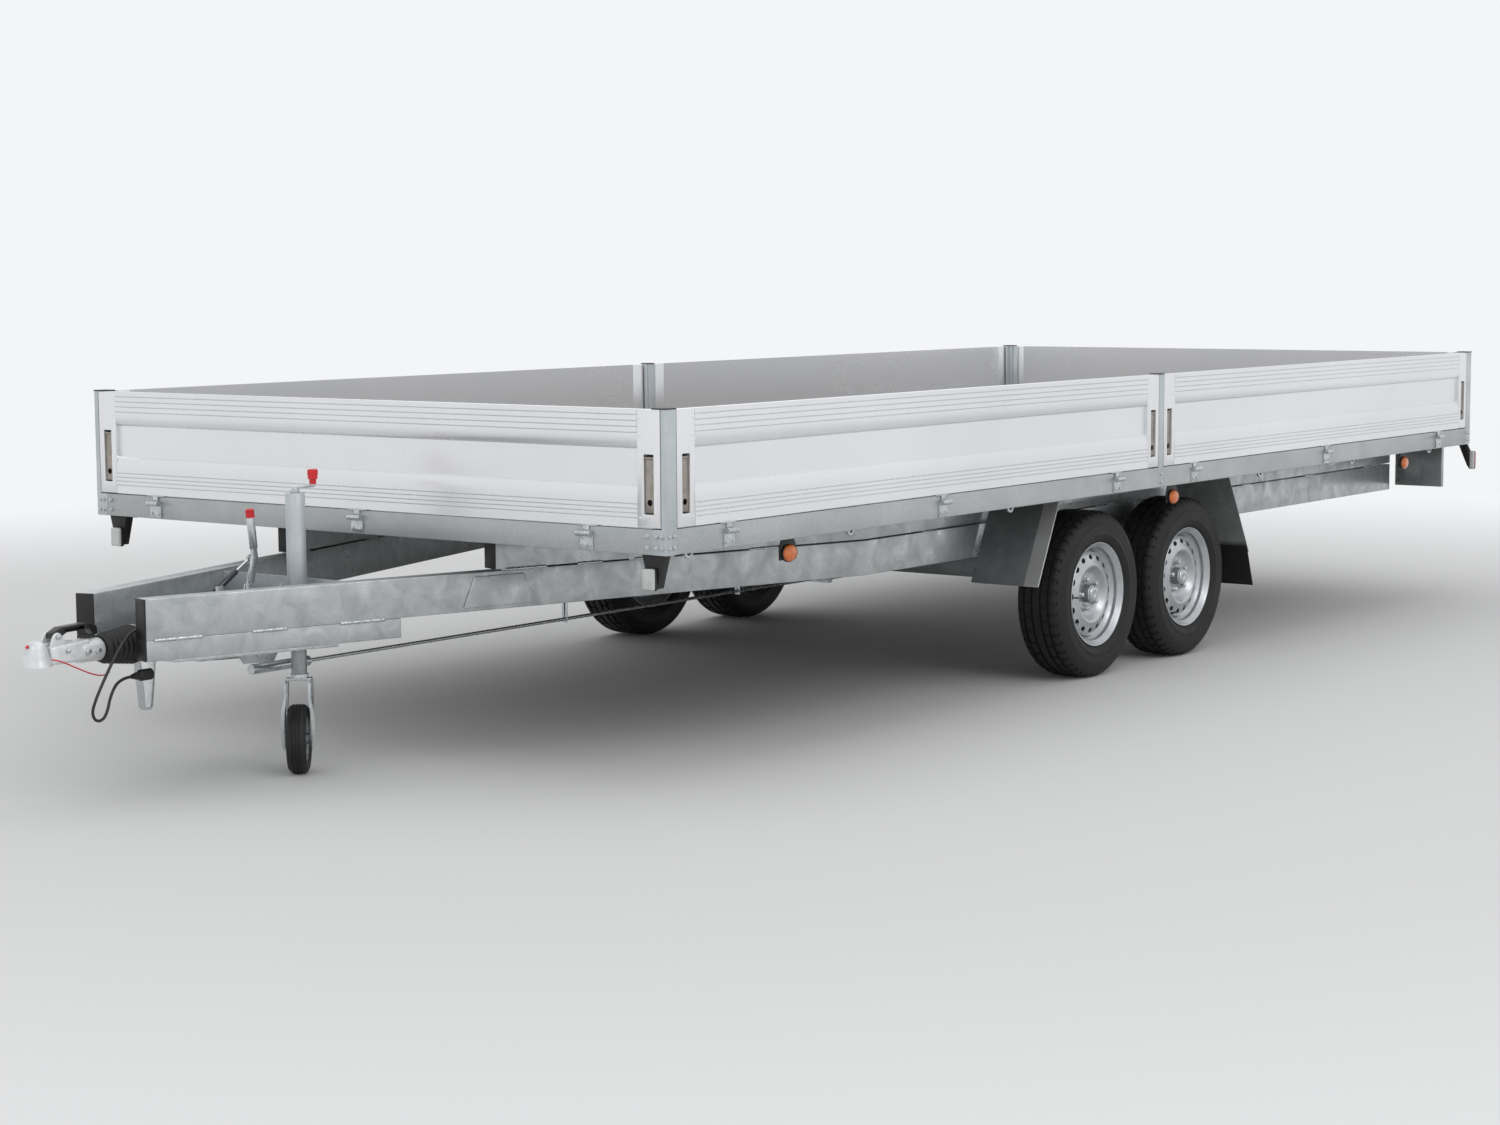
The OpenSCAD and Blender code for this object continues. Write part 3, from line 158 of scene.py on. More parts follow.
RIM_SILVER = Finish("silver_rim_paint", "#c3c5c7", "#aeb1b4", Grain.SPRAYED, 0.75, 0.34,
                    grain_mm=0.9, patch_mm=60.0, bump=0.02, coat=0.3)
TYRE = Finish("tyre_rubber", "#0e0e0f", "#161616", Grain.MOULDED, 0.0, 0.66,
              grain_mm=1.4, patch_mm=70.0, bump=0.12)
RUBBER = Finish("soft_rubber", "#0d0d0e", "#171718", Grain.MOULDED, 0.0, 0.6,
                grain_mm=1.2, patch_mm=40.0, bump=0.06)
FLAP = Finish("rubber_sheet", "#0c0c0d", "#151516", Grain.MOULDED, 0.0, 0.66,
              grain_mm=2.0, patch_mm=90.0, bump=0.06)
BLACK_PLASTIC = Finish("moulded_polypropylene", "#0f0f10", "#171718", Grain.MOULDED, 0.0, 0.46,
                       grain_mm=1.0, patch_mm=60.0, bump=0.05)
GRIP_BLACK = Finish("glass_filled_nylon", "#141415", "#1d1d1e", Grain.MOULDED, 0.0, 0.36,
                    grain_mm=1.1, patch_mm=30.0, bump=0.05)
RED_PLASTIC = Finish("red_polyamide", "#d3212a", "#bb1a22", Grain.MOULDED, 0.0, 0.38,
                     grain_mm=1.2, patch_mm=20.0, bump=0.04)
RED_SLEEVE = Finish("red_pvc_sleeve", "#c8202a", "#b01820", Grain.MOULDED, 0.0, 0.4,
                    grain_mm=1.0, patch_mm=30.0, bump=0.02)
CABLE_BLACK = Finish("cable_jacket", "#19191a", "#232324", Grain.MOULDED, 0.0, 0.42,
                     grain_mm=1.0, patch_mm=50.0, bump=0.03)
STRUT_BLUE = Finish("strut_enamel", "#20242f", "#171a23", Grain.SPRAYED, 0.3, 0.24,
                    grain_mm=0.8, patch_mm=50.0, bump=0.01, coat=0.6)
AMBER = Finish("amber_acrylic", "#f07d0a", "#d2600a", Grain.LENS, 0.0, 0.12,
               grain_mm=3.0, patch_mm=20.0, bump=0.25, coat=0.8, clear=0.25)
CLEAR = Finish("clear_acrylic", "#e4e6e4", "#cfd2d0", Grain.LENS, 0.0, 0.12,
               grain_mm=4.0, patch_mm=20.0, bump=0.3, coat=0.8, clear=0.3)
RED_LENS = Finish("red_acrylic", "#b3121a", "#8c0c13", Grain.LENS, 0.0, 0.12,
                  grain_mm=3.0, patch_mm=20.0, bump=0.25, coat=0.8, clear=0.2)
PLY_BROWN = Finish("film_faced_plywood", "#4a3428", "#3a281e", Grain.PLY, 0.0, 0.45,
                   grain_mm=6.0, patch_mm=260.0, bump=0.10)


def linear(code: str) -> tuple[float, float, float, float]:
    """Turns an sRGB hex colour into linear RGBA.

    Args:
        code: colour such as "#aabbcc".

    Returns:
        The linear colour with alpha 1.
    """
    parts = [int(code[i:i + 2], 16) / 255 for i in (1, 3, 5)]
    low = [p / 12.92 if p <= 0.04045 else ((p + 0.055) / 1.055) ** 2.4 for p in parts]
    return (low[0], low[1], low[2], 1.0)


class Paint:
    """Makes each finish's node material once and hands it out."""

    def __init__(self) -> None:
        """Starts with no materials."""
        self.made: dict[str, bpy.types.Material] = {}

    def get(self, finish: Finish) -> bpy.types.Material:
        """Returns the finish's material, building it the first time.

        Args:
            finish: the finish that is wanted.

        Returns:
            The finish's material.
        """
        if finish.name not in self.made:
            self.made[finish.name] = self.build(finish)
        return self.made[finish.name]

    def build(self, finish: Finish) -> bpy.types.Material:
        """Builds the node tree of one finish.

        Args:
            finish: the finish to build.

        Returns:
            The new material.
        """
        material = bpy.data.materials.new(finish.name)
        material.use_nodes = True
        tree = material.node_tree
        tree.nodes.clear()

        def add(kind: str, inputs: dict[str, Any] | None = None, **settings: Any) -> Any:
            """Adds a node; each input is a value or an output socket to link.

            Args:
                kind: the node's type.
                inputs: a value or an output socket for each input.
                settings: the node's own settings.

            Returns:
                The new node.
            """
            made = tree.nodes.new(kind)
            for key, value in settings.items():
                setattr(made, key, value)
            for key, value in (inputs or {}).items():
                socket = made.inputs[int(key)] if key.isdigit() else made.inputs[key]
                if isinstance(value, bpy.types.NodeSocket):
                    tree.links.new(value, socket)
                else:
                    socket.default_value = value
            return made

        place = add("ShaderNodeTexCoord").outputs["Object"]
        shader = add("ShaderNodeBsdfPrincipled", {
            "Metallic": finish.metallic, "Coat Weight": finish.coat,
            "Transmission Weight": finish.clear,
        })
        fine, patches = self.patterns(finish, add, place)
        spread = add("ShaderNodeMapRange", {
            "Value": patches, "From Min": 0.3, "From Max": 0.7, "To Min": 0.0, "To Max": 1.0,
        })
        tint = add("ShaderNodeMix", {
            "Factor": spread.outputs["Result"], "6": linear(finish.colour),
            "7": linear(finish.second),
        }, data_type="RGBA")
        mottled = add("ShaderNodeMix", {
            "Factor": 0.12, "6": tint.outputs[2], "7": fine,
        }, data_type="RGBA", blend_type="SOFT_LIGHT")
        gloss = add("ShaderNodeMapRange", {
            "Value": patches, "From Min": 0.25, "From Max": 0.75,
            "To Min": finish.rough - finish.rough_spread,
            "To Max": finish.rough + finish.rough_spread,
        })
        bump = add("ShaderNodeBump", {
            "Height": fine, "Strength": finish.bump, "Distance": finish.grain_mm * MM * 0.5,
        })
        tree.links.new(mottled.outputs[2], shader.inputs["Base Color"])
        tree.links.new(gloss.outputs["Result"], shader.inputs["Roughness"])
        tree.links.new(bump.outputs["Normal"], shader.inputs["Normal"])
        output = add("ShaderNodeOutputMaterial")
        tree.links.new(shader.outputs["BSDF"], output.inputs["Surface"])
        return material

    def patterns(self, finish: Finish, add: Callable[..., Any], place: Any) -> tuple[Any, Any]:
        """Adds the fine grain and the broad patches of a finish.

        Args:
            finish: the finish being built.
            add: the node maker.
            place: the coordinate socket.

        Returns:
            The fine pattern's socket and the patches' socket.
        """
        per_metre = 1.0 / (finish.grain_mm * MM)
        broad = 1.0 / (finish.patch_mm * MM)
        stretch = {
            Grain.EXTRUDED_X: (0.01, 1.0, 1.0), Grain.EXTRUDED_Y: (1.0, 0.01, 1.0),
        }.get(finish.grain, (1.0, 1.0, 1.0))
        mapped = add("ShaderNodeMapping", {"Vector": place, "Scale": stretch}).outputs["Vector"]
        patches = add("ShaderNodeTexNoise", {
            "Vector": place, "Scale": broad, "Detail": 4.0, "Roughness": 0.55, "Distortion": 0.6,
        }).outputs["Fac"]
        if finish.grain is Grain.SPANGLED:
            # Zinc flowers are flat crystals, so a smooth Voronoi cell's tone gives each its own shade.
            cells = add("ShaderNodeTexVoronoi", {
                "Vector": place, "Scale": per_metre, "Randomness": 1.0,
            }, feature="SMOOTH_F1").outputs["Distance"]
            return cells, patches
        if finish.grain is Grain.LENS:
            ribs = add("ShaderNodeTexWave", {
                "Vector": place, "Scale": per_metre * 0.5, "Distortion": 0.0,
            }, bands_direction="Z").outputs["Fac"]
            return ribs, patches
        if finish.grain is Grain.PLY:
            mesh = add("ShaderNodeTexVoronoi", {
                "Vector": place, "Scale": per_metre,
            }, distance="CHEBYCHEV").outputs["Distance"]
            return mesh, patches
        fine = add("ShaderNodeTexNoise", {
            "Vector": mapped, "Scale": per_metre, "Detail": 3.0, "Roughness": 0.6,
        }).outputs["Fac"]
        return fine, patches


PAINT = Paint()


# ---- Modelling steps ---------------------------------------------------------------------------


def select_only(obj: bpy.types.Object | None = None) -> None:
    """Deselects everything, then makes obj the one selected, active object.

    Args:
        obj: the object to select, if any.
    """
    if bpy.context.mode != "OBJECT":
        bpy.ops.object.mode_set(mode="OBJECT")
    bpy.ops.object.select_all(action="DESELECT")
    if obj is not None:
        obj.select_set(True)
        bpy.context.view_layer.objects.active = obj


def edit(obj: bpy.types.Object, everything: bool = True) -> None:
    """Enters edit mode on obj with all or nothing selected.

    Args:
        obj: the object to work on.
        everything: whether all of its mesh starts selected.
    """
    select_only(obj)
    bpy.ops.object.mode_set(mode="EDIT")
    bpy.ops.mesh.select_all(action="SELECT" if everything else "DESELECT")


def done(obj: bpy.types.Object, merge: float = 0.0, outward: bool = False) -> bpy.types.Object:
    """Cleans the mesh if asked and leaves edit mode.

    Args:
        obj: the object in edit mode.
        merge: distance under which points are merged, in metres.
        outward: whether the faces are turned outwards.

    Returns:
        The same object.
    """
    bpy.ops.mesh.select_all(action="SELECT")
    if merge > 0:
        bpy.ops.mesh.remove_doubles(threshold=merge)
    if outward:
        bpy.ops.mesh.normals_make_consistent(inside=False)
    bpy.ops.object.mode_set(mode="OBJECT")
    return obj


def smooth(obj: bpy.types.Object, degrees: float = 35.0) -> bpy.types.Object:
    """Shades obj smooth across edges flatter than an angle.

    Args:
        obj: the object to work on.
        degrees: the angle over which an edge stays crisp.

    Returns:
        The same object.
    """
    select_only(obj)
    bpy.ops.object.shade_smooth_by_angle(angle=math.radians(degrees))
    return obj


def modify(obj: bpy.types.Object, kind: str, **settings: Any) -> bpy.types.Object:
    """Adds one modifier with its settings and applies it.

    Args:
        obj: the object to work on.
        kind: the modifier's type.
        settings: its settings by name.

    Returns:
        The same object.
    """
    select_only(obj)
    added = obj.modifiers.new(kind.lower(), kind)
    for key, value in settings.items():
        setattr(added, key, value)
    bpy.ops.object.modifier_apply(modifier=added.name)
    return obj


def round_edges(obj: bpy.types.Object, width: float, segments: int = 2) -> bpy.types.Object:
    """Rounds the sharp edges of obj by a radius in metres.

    Args:
        obj: the object to work on.
        width: the radius in metres.
        segments: faces round each edge.

    Returns:
        The same object.
    """
    return modify(obj, "BEVEL", width=width, segments=segments, limit_method="ANGLE",
                  angle_limit=math.radians(40), use_clamp_overlap=True)


def trace(name: str, points: Sequence[Vector]) -> bpy.types.Object:
    """Draws a line of edges through points, leaving edit mode on with all selected.

    Args:
        name: the new object's name.
        points: the places it runs through.

    Returns:
        The object, in edit mode.
    """
    select_only()
    bpy.ops.mesh.primitive_plane_add(size=0.001)
    obj = bpy.context.object
    obj.name = name
    obj.data.name = name
    bpy.ops.object.mode_set(mode="EDIT")
    bpy.ops.mesh.select_all(action="SELECT")
    bpy.ops.mesh.merge(type="CENTER")
    bpy.ops.transform.translate(value=points[0])
    for start, end in zip(points, points[1:]):
        bpy.ops.mesh.extrude_region_move(TRANSFORM_OT_translate={"value": end - start})
    bpy.ops.mesh.select_all(action="SELECT")
    return obj


def lathe(name: str, profile: Sequence[Point], steps: int = 64,
          closed: bool = True) -> bpy.types.Object:
    """Spins a profile of (radius, height) points about Z into a solid.

    Args:
        name: the new object's name.
        profile: the outline in metres, in order.
        steps: faces round the circle.
        closed: whether the outline returns to its first point.

    Returns:
        The finished object, about the world's Z axis.
    """
    points = [Vector((r, 0.0, z)) for r, z in profile]
    if closed:
        points.append(points[0].copy())
    obj = trace(name, points)
    bpy.ops.mesh.remove_doubles(threshold=1e-6)
    bpy.ops.mesh.select_all(action="SELECT")
    bpy.ops.mesh.spin(steps=steps, angle=math.tau, center=(0, 0, 0), axis=(0, 0, 1))
    return done(obj, 2e-6, True)


def prism(name: str, outline: Sequence[Point], depth: float) -> bpy.types.Object:
    """Extrudes a closed outline in the X-Y plane along Z.

    Args:
        name: the new object's name.
        outline: the outline's points in metres, in order.
        depth: the length along Z.

    Returns:
        The finished object.
    """
    obj = trace(name, [Vector((x, y, 0.0)) for x, y in [*outline, outline[0]]])
    bpy.ops.mesh.remove_doubles(threshold=1e-6)
    bpy.ops.mesh.select_all(action="SELECT")
    bpy.ops.mesh.edge_face_add()
    bpy.ops.mesh.extrude_region_move(TRANSFORM_OT_translate={"value": (0, 0, depth)})
    return done(obj, 0.0, True)


def bar(name: str, low: Sequence[float], high: Sequence[float], radius: float = 0.0,
        segments: int = 2) -> bpy.types.Object:
    """Makes a block between two corners, with rounded edges.

    Args:
        name: the new object's name.
        low: its lowest corner.
        high: its highest corner.
        radius: the edge radius in metres, or 0.
        segments: faces round each edge.

    Returns:
        The finished object.
    """
    select_only()
    bpy.ops.mesh.primitive_cube_add(size=1.0)
    obj = bpy.context.object
    obj.name = name
    obj.data.name = name
    edit(obj)
    bpy.ops.transform.resize(value=[h - l for l, h in zip(low, high)])
    bpy.ops.transform.translate(value=[(h + l) / 2 for l, h in zip(low, high)])
    done(obj)
    return round_edges(obj, radius, segments) if radius else obj


def move(obj: bpy.types.Object, matrix: Matrix) -> bpy.types.Object:
    """Moves the mesh itself, so that the object stays at the origin.

    Args:
        obj: the object to work on.
        matrix: the move, turn or mirror image.

    Returns:
        The same object.
    """
    obj.data.transform(matrix)
    obj.data.update()
    return obj


def twin(obj: bpy.types.Object, name: str, matrix: Matrix) -> bpy.types.Object:
    """Copies obj with its own mesh, moved by a matrix.

    Args:
        obj: the object to copy.
        name: the new object's name.
        matrix: the move, turn or mirror image.

    Returns:
        The copy.
    """
    other = obj.copy()
    other.data = obj.data.copy()
    other.name = name
    other.data.name = name
    bpy.context.scene.collection.objects.link(other)
    move(other, matrix)
    if matrix.determinant() < 0:
        edit(other)
        bpy.ops.mesh.flip_normals()
        done(other)
    return other


def handed(piece: bpy.types.Object, side: int) -> bpy.types.Object:
    """Returns the piece itself on the left, or its mirror image on the right.

    Args:
        piece: the piece as it stands on the left.
        side: 1 for the left, -1 for the right.

    Returns:
        The piece for that side.
    """
    if side > 0:
        return piece
    other = twin(piece, piece.name, Matrix.Diagonal((1, -1, 1, 1)))
    bpy.data.objects.remove(piece)
    return other


def join(name: str, pieces: Iterable[bpy.types.Object]) -> bpy.types.Object:
    """Joins pieces of one finish into a single object.

    Args:
        name: the new object's name.
        pieces: the pieces to join.

    Returns:
        The joined object.
    """
    found = list(pieces)
    select_only()
    for piece in found:
        piece.select_set(True)
    bpy.context.view_layer.objects.active = found[0]
    bpy.ops.object.join()
    found[0].name = name
    return found[0]


def cut(obj: bpy.types.Object, tool: bpy.types.Object) -> bpy.types.Object:
    """Cuts the tool's shape out of obj and removes the tool.

    Args:
        obj: the object to work on.
        tool: the shape to take away; it is removed.

    Returns:
        The same object.
    """
    modify(obj, "BOOLEAN", object=tool, operation="DIFFERENCE", solver="EXACT")
    bpy.data.objects.remove(tool)
    return obj


def dress(obj: bpy.types.Object, finish: Finish) -> bpy.types.Object:
    """Gives obj one finish all over.

    Args:
        obj: the object to work on.
        finish: the finish to give.

    Returns:
        The same object.
    """
    obj.data.materials.clear()
    obj.data.materials.append(PAINT.get(finish))
    return obj


AXIS_X = Matrix.Rotation(math.pi / 2, 4, "Y")
AXIS_Y = Matrix.Rotation(-math.pi / 2, 4, "X")
AXIS_Y_UP = Matrix.Rotation(math.pi / 2, 4, "X")
# Turns an (x, y) outline into the (y, z) plane.
AXIS_X_UP = Matrix(((0, 0, 1, 0), (1, 0, 0, 0), (0, 1, 0, 0), (0, 0, 0, 1)))


# ---- Frame -------------------------------------------------------------------------------------


class Frame:
    """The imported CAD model: its boxes, bodies and material slots."""

    def __init__(self) -> None:
        """Loads the frame and keeps its bounds."""
        self.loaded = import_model()
        self.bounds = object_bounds()
        record = self.loaded["record"]
        self.slots = {s["node"]: s["material_slot"] for s in record["subparts"]}
        self.body_of = {
            node: body for body, nodes in record["behaviour"]["bodies"].items() for node in nodes
        }
        deck_low, deck_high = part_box("posts")
        self.bed_front = deck_high.x
        self.bed_rear = deck_low.x
        self.half_width = deck_high.y

    def set_in(self, piece: bpy.types.Object, node: str, stands_for: bool = True) -> None:
        """Ties a piece to a node's body.

        Args:
            piece: the finished piece.
            node: the CAD node that it belongs with.
            stands_for: whether it replaces the node.
        """
        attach(piece, self.body_of[node])
        if stands_for:
            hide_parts(node)
        LOG.info("%s on %s, %d faces", piece.name, self.body_of[node], len(piece.data.polygons))

    def soften(self, node: str, finish: Finish, radius: float, segments: int = 2,
               degrees: float = 32.0) -> bpy.types.Object:
        """Shows a CAD node as a merged copy with rounded edges.

        Args:
            node: the CAD node.
            finish: its finish.
            radius: edge radius in metres, or 0 for none.
            segments: faces round each edge.
            degrees: the angle over which an edge stays crisp.

        Returns:
            The new piece.
        """
        source = self.loaded["nodes"][node]
        select_only()
        obj = bpy.data.objects.new(f"{node}_shape", source.data.copy())
        bpy.context.scene.collection.objects.link(obj)
        edit(obj)
        bpy.ops.mesh.remove_doubles(threshold=1e-5)
        bpy.ops.mesh.dissolve_limited(angle_limit=math.radians(0.5))
        done(obj)
        if radius:
            round_edges(obj, radius, segments)
        obj.name = f"{node}_shape"
        dress(smooth(obj, degrees), finish)
        self.set_in(obj, node)
        return obj


# ---- Walls -------------------------------------------------------------------------------------


@dataclass
class Wall:
    """One drop-side wall: its board, two end profiles and three hinge leaves."""

    node: str
    finish: Finish
    height: float = 0.346
    thick: float = 0.025
    end_w: float = 0.085
    groove: float = 0.0026
    groove_half: float = 0.0019
    step_in: float = 0.012
    head_pitch: float = 0.0174
    belt_pitch: float = 0.0136
    latch_top: float = 0.131
    latch_h: float = 0.176
    latch_w: float = 0.037
    latch_depth: float = 0.016
    hinges: tuple[float, ...] = ()
    gap: float = 0.0002

    def section(self) -> list[Point]:
        """Lists (height, depth) of the board's outer face, from the foot up.

        Returns:
            The points of the outer face.
        """
        points: list[Point] = []
        for i in range(4):
            centre = self.height - 0.318 + i * self.belt_pitch
            points += self.notch(centre)
        cove = (self.height - 0.263, self.height - 0.221)
        steps = 8
        for i in range(steps + 1):
            t = i / steps
            depth = -self.step_in * (1 - math.sqrt(max(0.0, 1 - t * t)))
            points.append((cove[0] + t * (cove[1] - cove[0]), depth))
        top = (self.height - 0.116, self.height - 0.071)
        for i in range(steps + 1):
            t = 1 - i / steps
            depth = -self.step_in * (1 - math.sqrt(max(0.0, 1 - t * t)))
            points.append((top[1] - t * (top[1] - top[0]), depth))
        for i in range(3, -1, -1):
            points += self.notch(self.height - (i + 1) * self.head_pitch + 0.001)
        return points

    def notch(self, centre: float) -> list[Point]:
        """Lists the points of one V groove at a height.

        Args:
            centre: the groove's height on the wall.

        Returns:
            The three points of the groove.
        """
        return [(centre - self.groove_half, 0.0), (centre, -self.groove),
                (centre + self.groove_half, 0.0)]

    def board(self, length: float) -> bpy.types.Object:
        """Cuts the section's steps and grooves into a long block.

        Args:
            length: the wall's whole length.

        Returns:
            The board, its outer face on y = 0 and its foot on z = 0.
        """
        obj = bar(f"{self.node}_board", (self.end_w + self.gap, -self.thick, 0.0),
                  (length - self.end_w - self.gap, 0.0, self.height))
        section = self.section()
        edit(obj)
        for height, _ in section:
            bpy.ops.mesh.select_all(action="SELECT")
            bpy.ops.mesh.bisect(plane_co=(0, 0, height), plane_no=(0, 0, 1))
        for height, depth in section:
            if depth:
                bpy.ops.mesh.select_all(action="DESELECT")
                bpy.ops.object.mode_set(mode="OBJECT")
                for vertex in obj.data.vertices:
                    vertex.select = abs(vertex.co.z - height) < 1e-5 and vertex.co.y > -1e-5
                bpy.ops.object.mode_set(mode="EDIT")
                bpy.ops.transform.translate(value=(0, depth, 0))
        done(obj)
        return smooth(obj, 25)

    def end_profile(self, start: float) -> bpy.types.Object:
        """Makes one end profile with its latch pocket and rivets.

        Args:
            start: where it begins along the wall.

        Returns:
            The profile.
        """
        obj = bar(f"{self.node}_end", (start, -self.thick, 0.0),
                  (start + self.end_w, 0.0, self.height), 0.0012)
        mid = start + self.end_w / 2
        high = self.height - self.latch_top
        tool = bar("pocket", (mid - self.latch_w / 2, -self.latch_depth, high - self.latch_h),
                   (mid + self.latch_w / 2, 0.01, high), 0.002)
        cut(obj, tool)
        inner = start + self.end_w - 0.009 if start < 0.01 else start + 0.009
        rivets = []
        for drop in (0.026, 0.077, 0.318):
            rivet = lathe("rivet", [(0.0, 0.0), (0.0042, 0.0), (0.0036, 0.0012), (0.0, 0.002)], 12,
                          False)
            move(rivet, Matrix.Translation((inner, 0.0, self.height - drop)) @ AXIS_Y)
            rivets.append(rivet)
        return smooth(join(f"{self.node}_end", [obj, *rivets]), 30)

    def leaf(self, place: float) -> bpy.types.Object:
        """Makes one hinge leaf: foot plate, web and knuckle.

        Args:
            place: where it stands along the wall.

        Returns:
            The leaf.
        """
        out, axis_z = 0.015, -0.026
        plate = prism("leaf_plate", [(-0.04, -0.02), (0.04, -0.02), (0.04, 0.0005),
                                     (0.02, 0.0075), (-0.02, 0.0075), (-0.04, 0.0005)], 0.003)
        move(plate, Matrix.Translation((0, 0, -0.0032)))
        web = bar("leaf_web", (-0.012, 0.0005, axis_z), (0.012, 0.0045, -0.001), 0.001)
        knuckle = lathe("leaf_knuckle", [(0.004, -0.012), (0.0082, -0.012), (0.009, -0.0112),
                                         (0.009, 0.0112), (0.0082, 0.012), (0.004, 0.012)], 28)
        move(knuckle, Matrix.Translation((0, out, axis_z)) @ AXIS_X)
        bridge = bar("leaf_bridge", (-0.012, 0.0005, axis_z), (0.012, out, axis_z + 0.007), 0.001)
        whole = join(f"{self.node}_leaf", [plate, web, knuckle, bridge])
        move(whole, Matrix.Translation((place, 0, 0)))
        return smooth(whole, 30)

    def build(self, frame: Frame, place: Matrix, length: float) -> None:
        """Builds the wall and sets it in its place.

        Args:
            frame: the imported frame.
            place: turns the wall's own axes into the row frame.
            length: the wall's whole length.
        """
        board = dress(self.board(length), self.finish)
        ends = [self.end_profile(0.0), self.end_profile(length - self.end_w)]
        end = dress(join(f"{self.node}_end_profiles", ends), self.finish)
        leaves = dress(join(f"{self.node}_leaves", [self.leaf(h) for h in self.hinges]), PLATE_ZINC)
        for piece in (board, end, leaves):
            move(piece, place)
            frame.set_in(piece, self.node, piece is board)
        self.latches(frame, place, length)

    def latches(self, frame: Frame, place: Matrix, length: float) -> None:
        """Builds the two flush paddles of the wall.

        Args:
            frame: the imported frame.
            place: turns the wall's own axes into the row frame.
            length: the wall's whole length.
        """
        paddles = []
        top = self.height - self.latch_top
        half = self.latch_w / 2 - 0.0012
        for mid in (self.end_w / 2, length - self.end_w / 2):
            plate = bar("paddle", (mid - half, -0.009, top - self.latch_h + 0.004),
                        (mid + half, -0.005, top - 0.013), 0.0015)
            hole = lathe("finger_hole", [(0.0, -0.02), (0.0095, -0.02), (0.0095, 0.02), (0.0, 0.02)],
                         28, False)
            move(hole, Matrix.Translation((mid, -0.007, top - self.latch_h + 0.034)) @ AXIS_Y)
            cut(plate, hole)
            lip = lathe("finger_cup", [(0.0095, -0.0004), (0.0125, -0.0004), (0.0122, 0.0007),
                                       (0.0105, 0.0012), (0.0095, 0.0007)], 28)
            move(lip, Matrix.Translation((mid, -0.0055, top - self.latch_h + 0.034)) @ AXIS_Y)
            roll = lathe("latch_roll", [(0.0, -half), (0.0055, -half), (0.0055, half), (0.0, half)],
                         24, False)
            move(roll, Matrix.Translation((mid, -0.008, top - 0.012)) @ AXIS_X)
            paddles.append(join("paddle", [plate, lip, roll]))
        whole = dress(smooth(join(f"{self.node}_paddles", paddles), 30), LATCH_STEEL)
        move(whole, place)
        frame.set_in(whole, f"{self.node}_latches")
        backs = [bar("pocket_back", (m - self.latch_w / 2 + 0.0004, -self.latch_depth + 0.0003,
                                     top - self.latch_h + 0.0004),
                     (m + self.latch_w / 2 - 0.0004, -self.latch_depth + 0.0012, top - 0.0004))
                 for m in (self.end_w / 2, length - self.end_w / 2)]
        back = dress(join(f"{self.node}_pocket_backs", backs), BLACK_PLASTIC)
        move(back, place)
        frame.set_in(back, self.node, False)


def wall_place(origin: Sequence[float], along: Sequence[float]) -> Matrix:
    """Turns wall axes (along, outward, up) into the row frame.

    Args:
        origin: where the wall's start, outer face and foot meet.
        along: the direction of the wall's length.

    Returns:
        The matrix of that place.
    """
    x = Vector(along)
    z = Vector((0, 0, 1))
    y = z.cross(x)
    turn = Matrix((x, y, z)).transposed().to_4x4()
    return Matrix.Translation(origin) @ turn


@dataclass
class Walls:
    """All six drop-side walls."""

    hinge_front: float = 0.245
    hinge_rear: float = 0.320
    end_inset: float = 0.280
    foot: float = 0.776

    def build(self, frame: Frame) -> None:
        """Builds every wall in its place.

        Args:
            frame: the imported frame.
        """
        half = frame.half_width
        for side, name in ((1, "left"), (-1, "right")):
            for end in ("front", "rear"):
                node = f"{name}_{end}_wall"
                low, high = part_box(node)
                length = high.x - low.x
                from_front = (self.hinge_front,
                              (self.hinge_front + length - self.hinge_rear) / 2,
                              length - self.hinge_rear)
                hinges = from_front if side < 0 else tuple(length - d for d in from_front)
                start = low.x if side > 0 else high.x
                place = wall_place((start, side * half, self.foot), (side, 0, 0))
                Wall(node, WALL_X, hinges=hinges).build(frame, place, length)
        for node, sign, x in (("front_wall", 1, frame.bed_front), ("rear_wall", -1, frame.bed_rear)):
            low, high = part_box(node)
            length = high.y - low.y
            hinges = (self.end_inset, length / 2, length - self.end_inset)
            start = high.y if sign > 0 else low.y
            place = wall_place((x, start, self.foot), (0, -sign, 0))
            Wall(node, WALL_Y, hinges=hinges).build(frame, place, length)


# ---- Road wheels -------------------------------------------------------------------------------


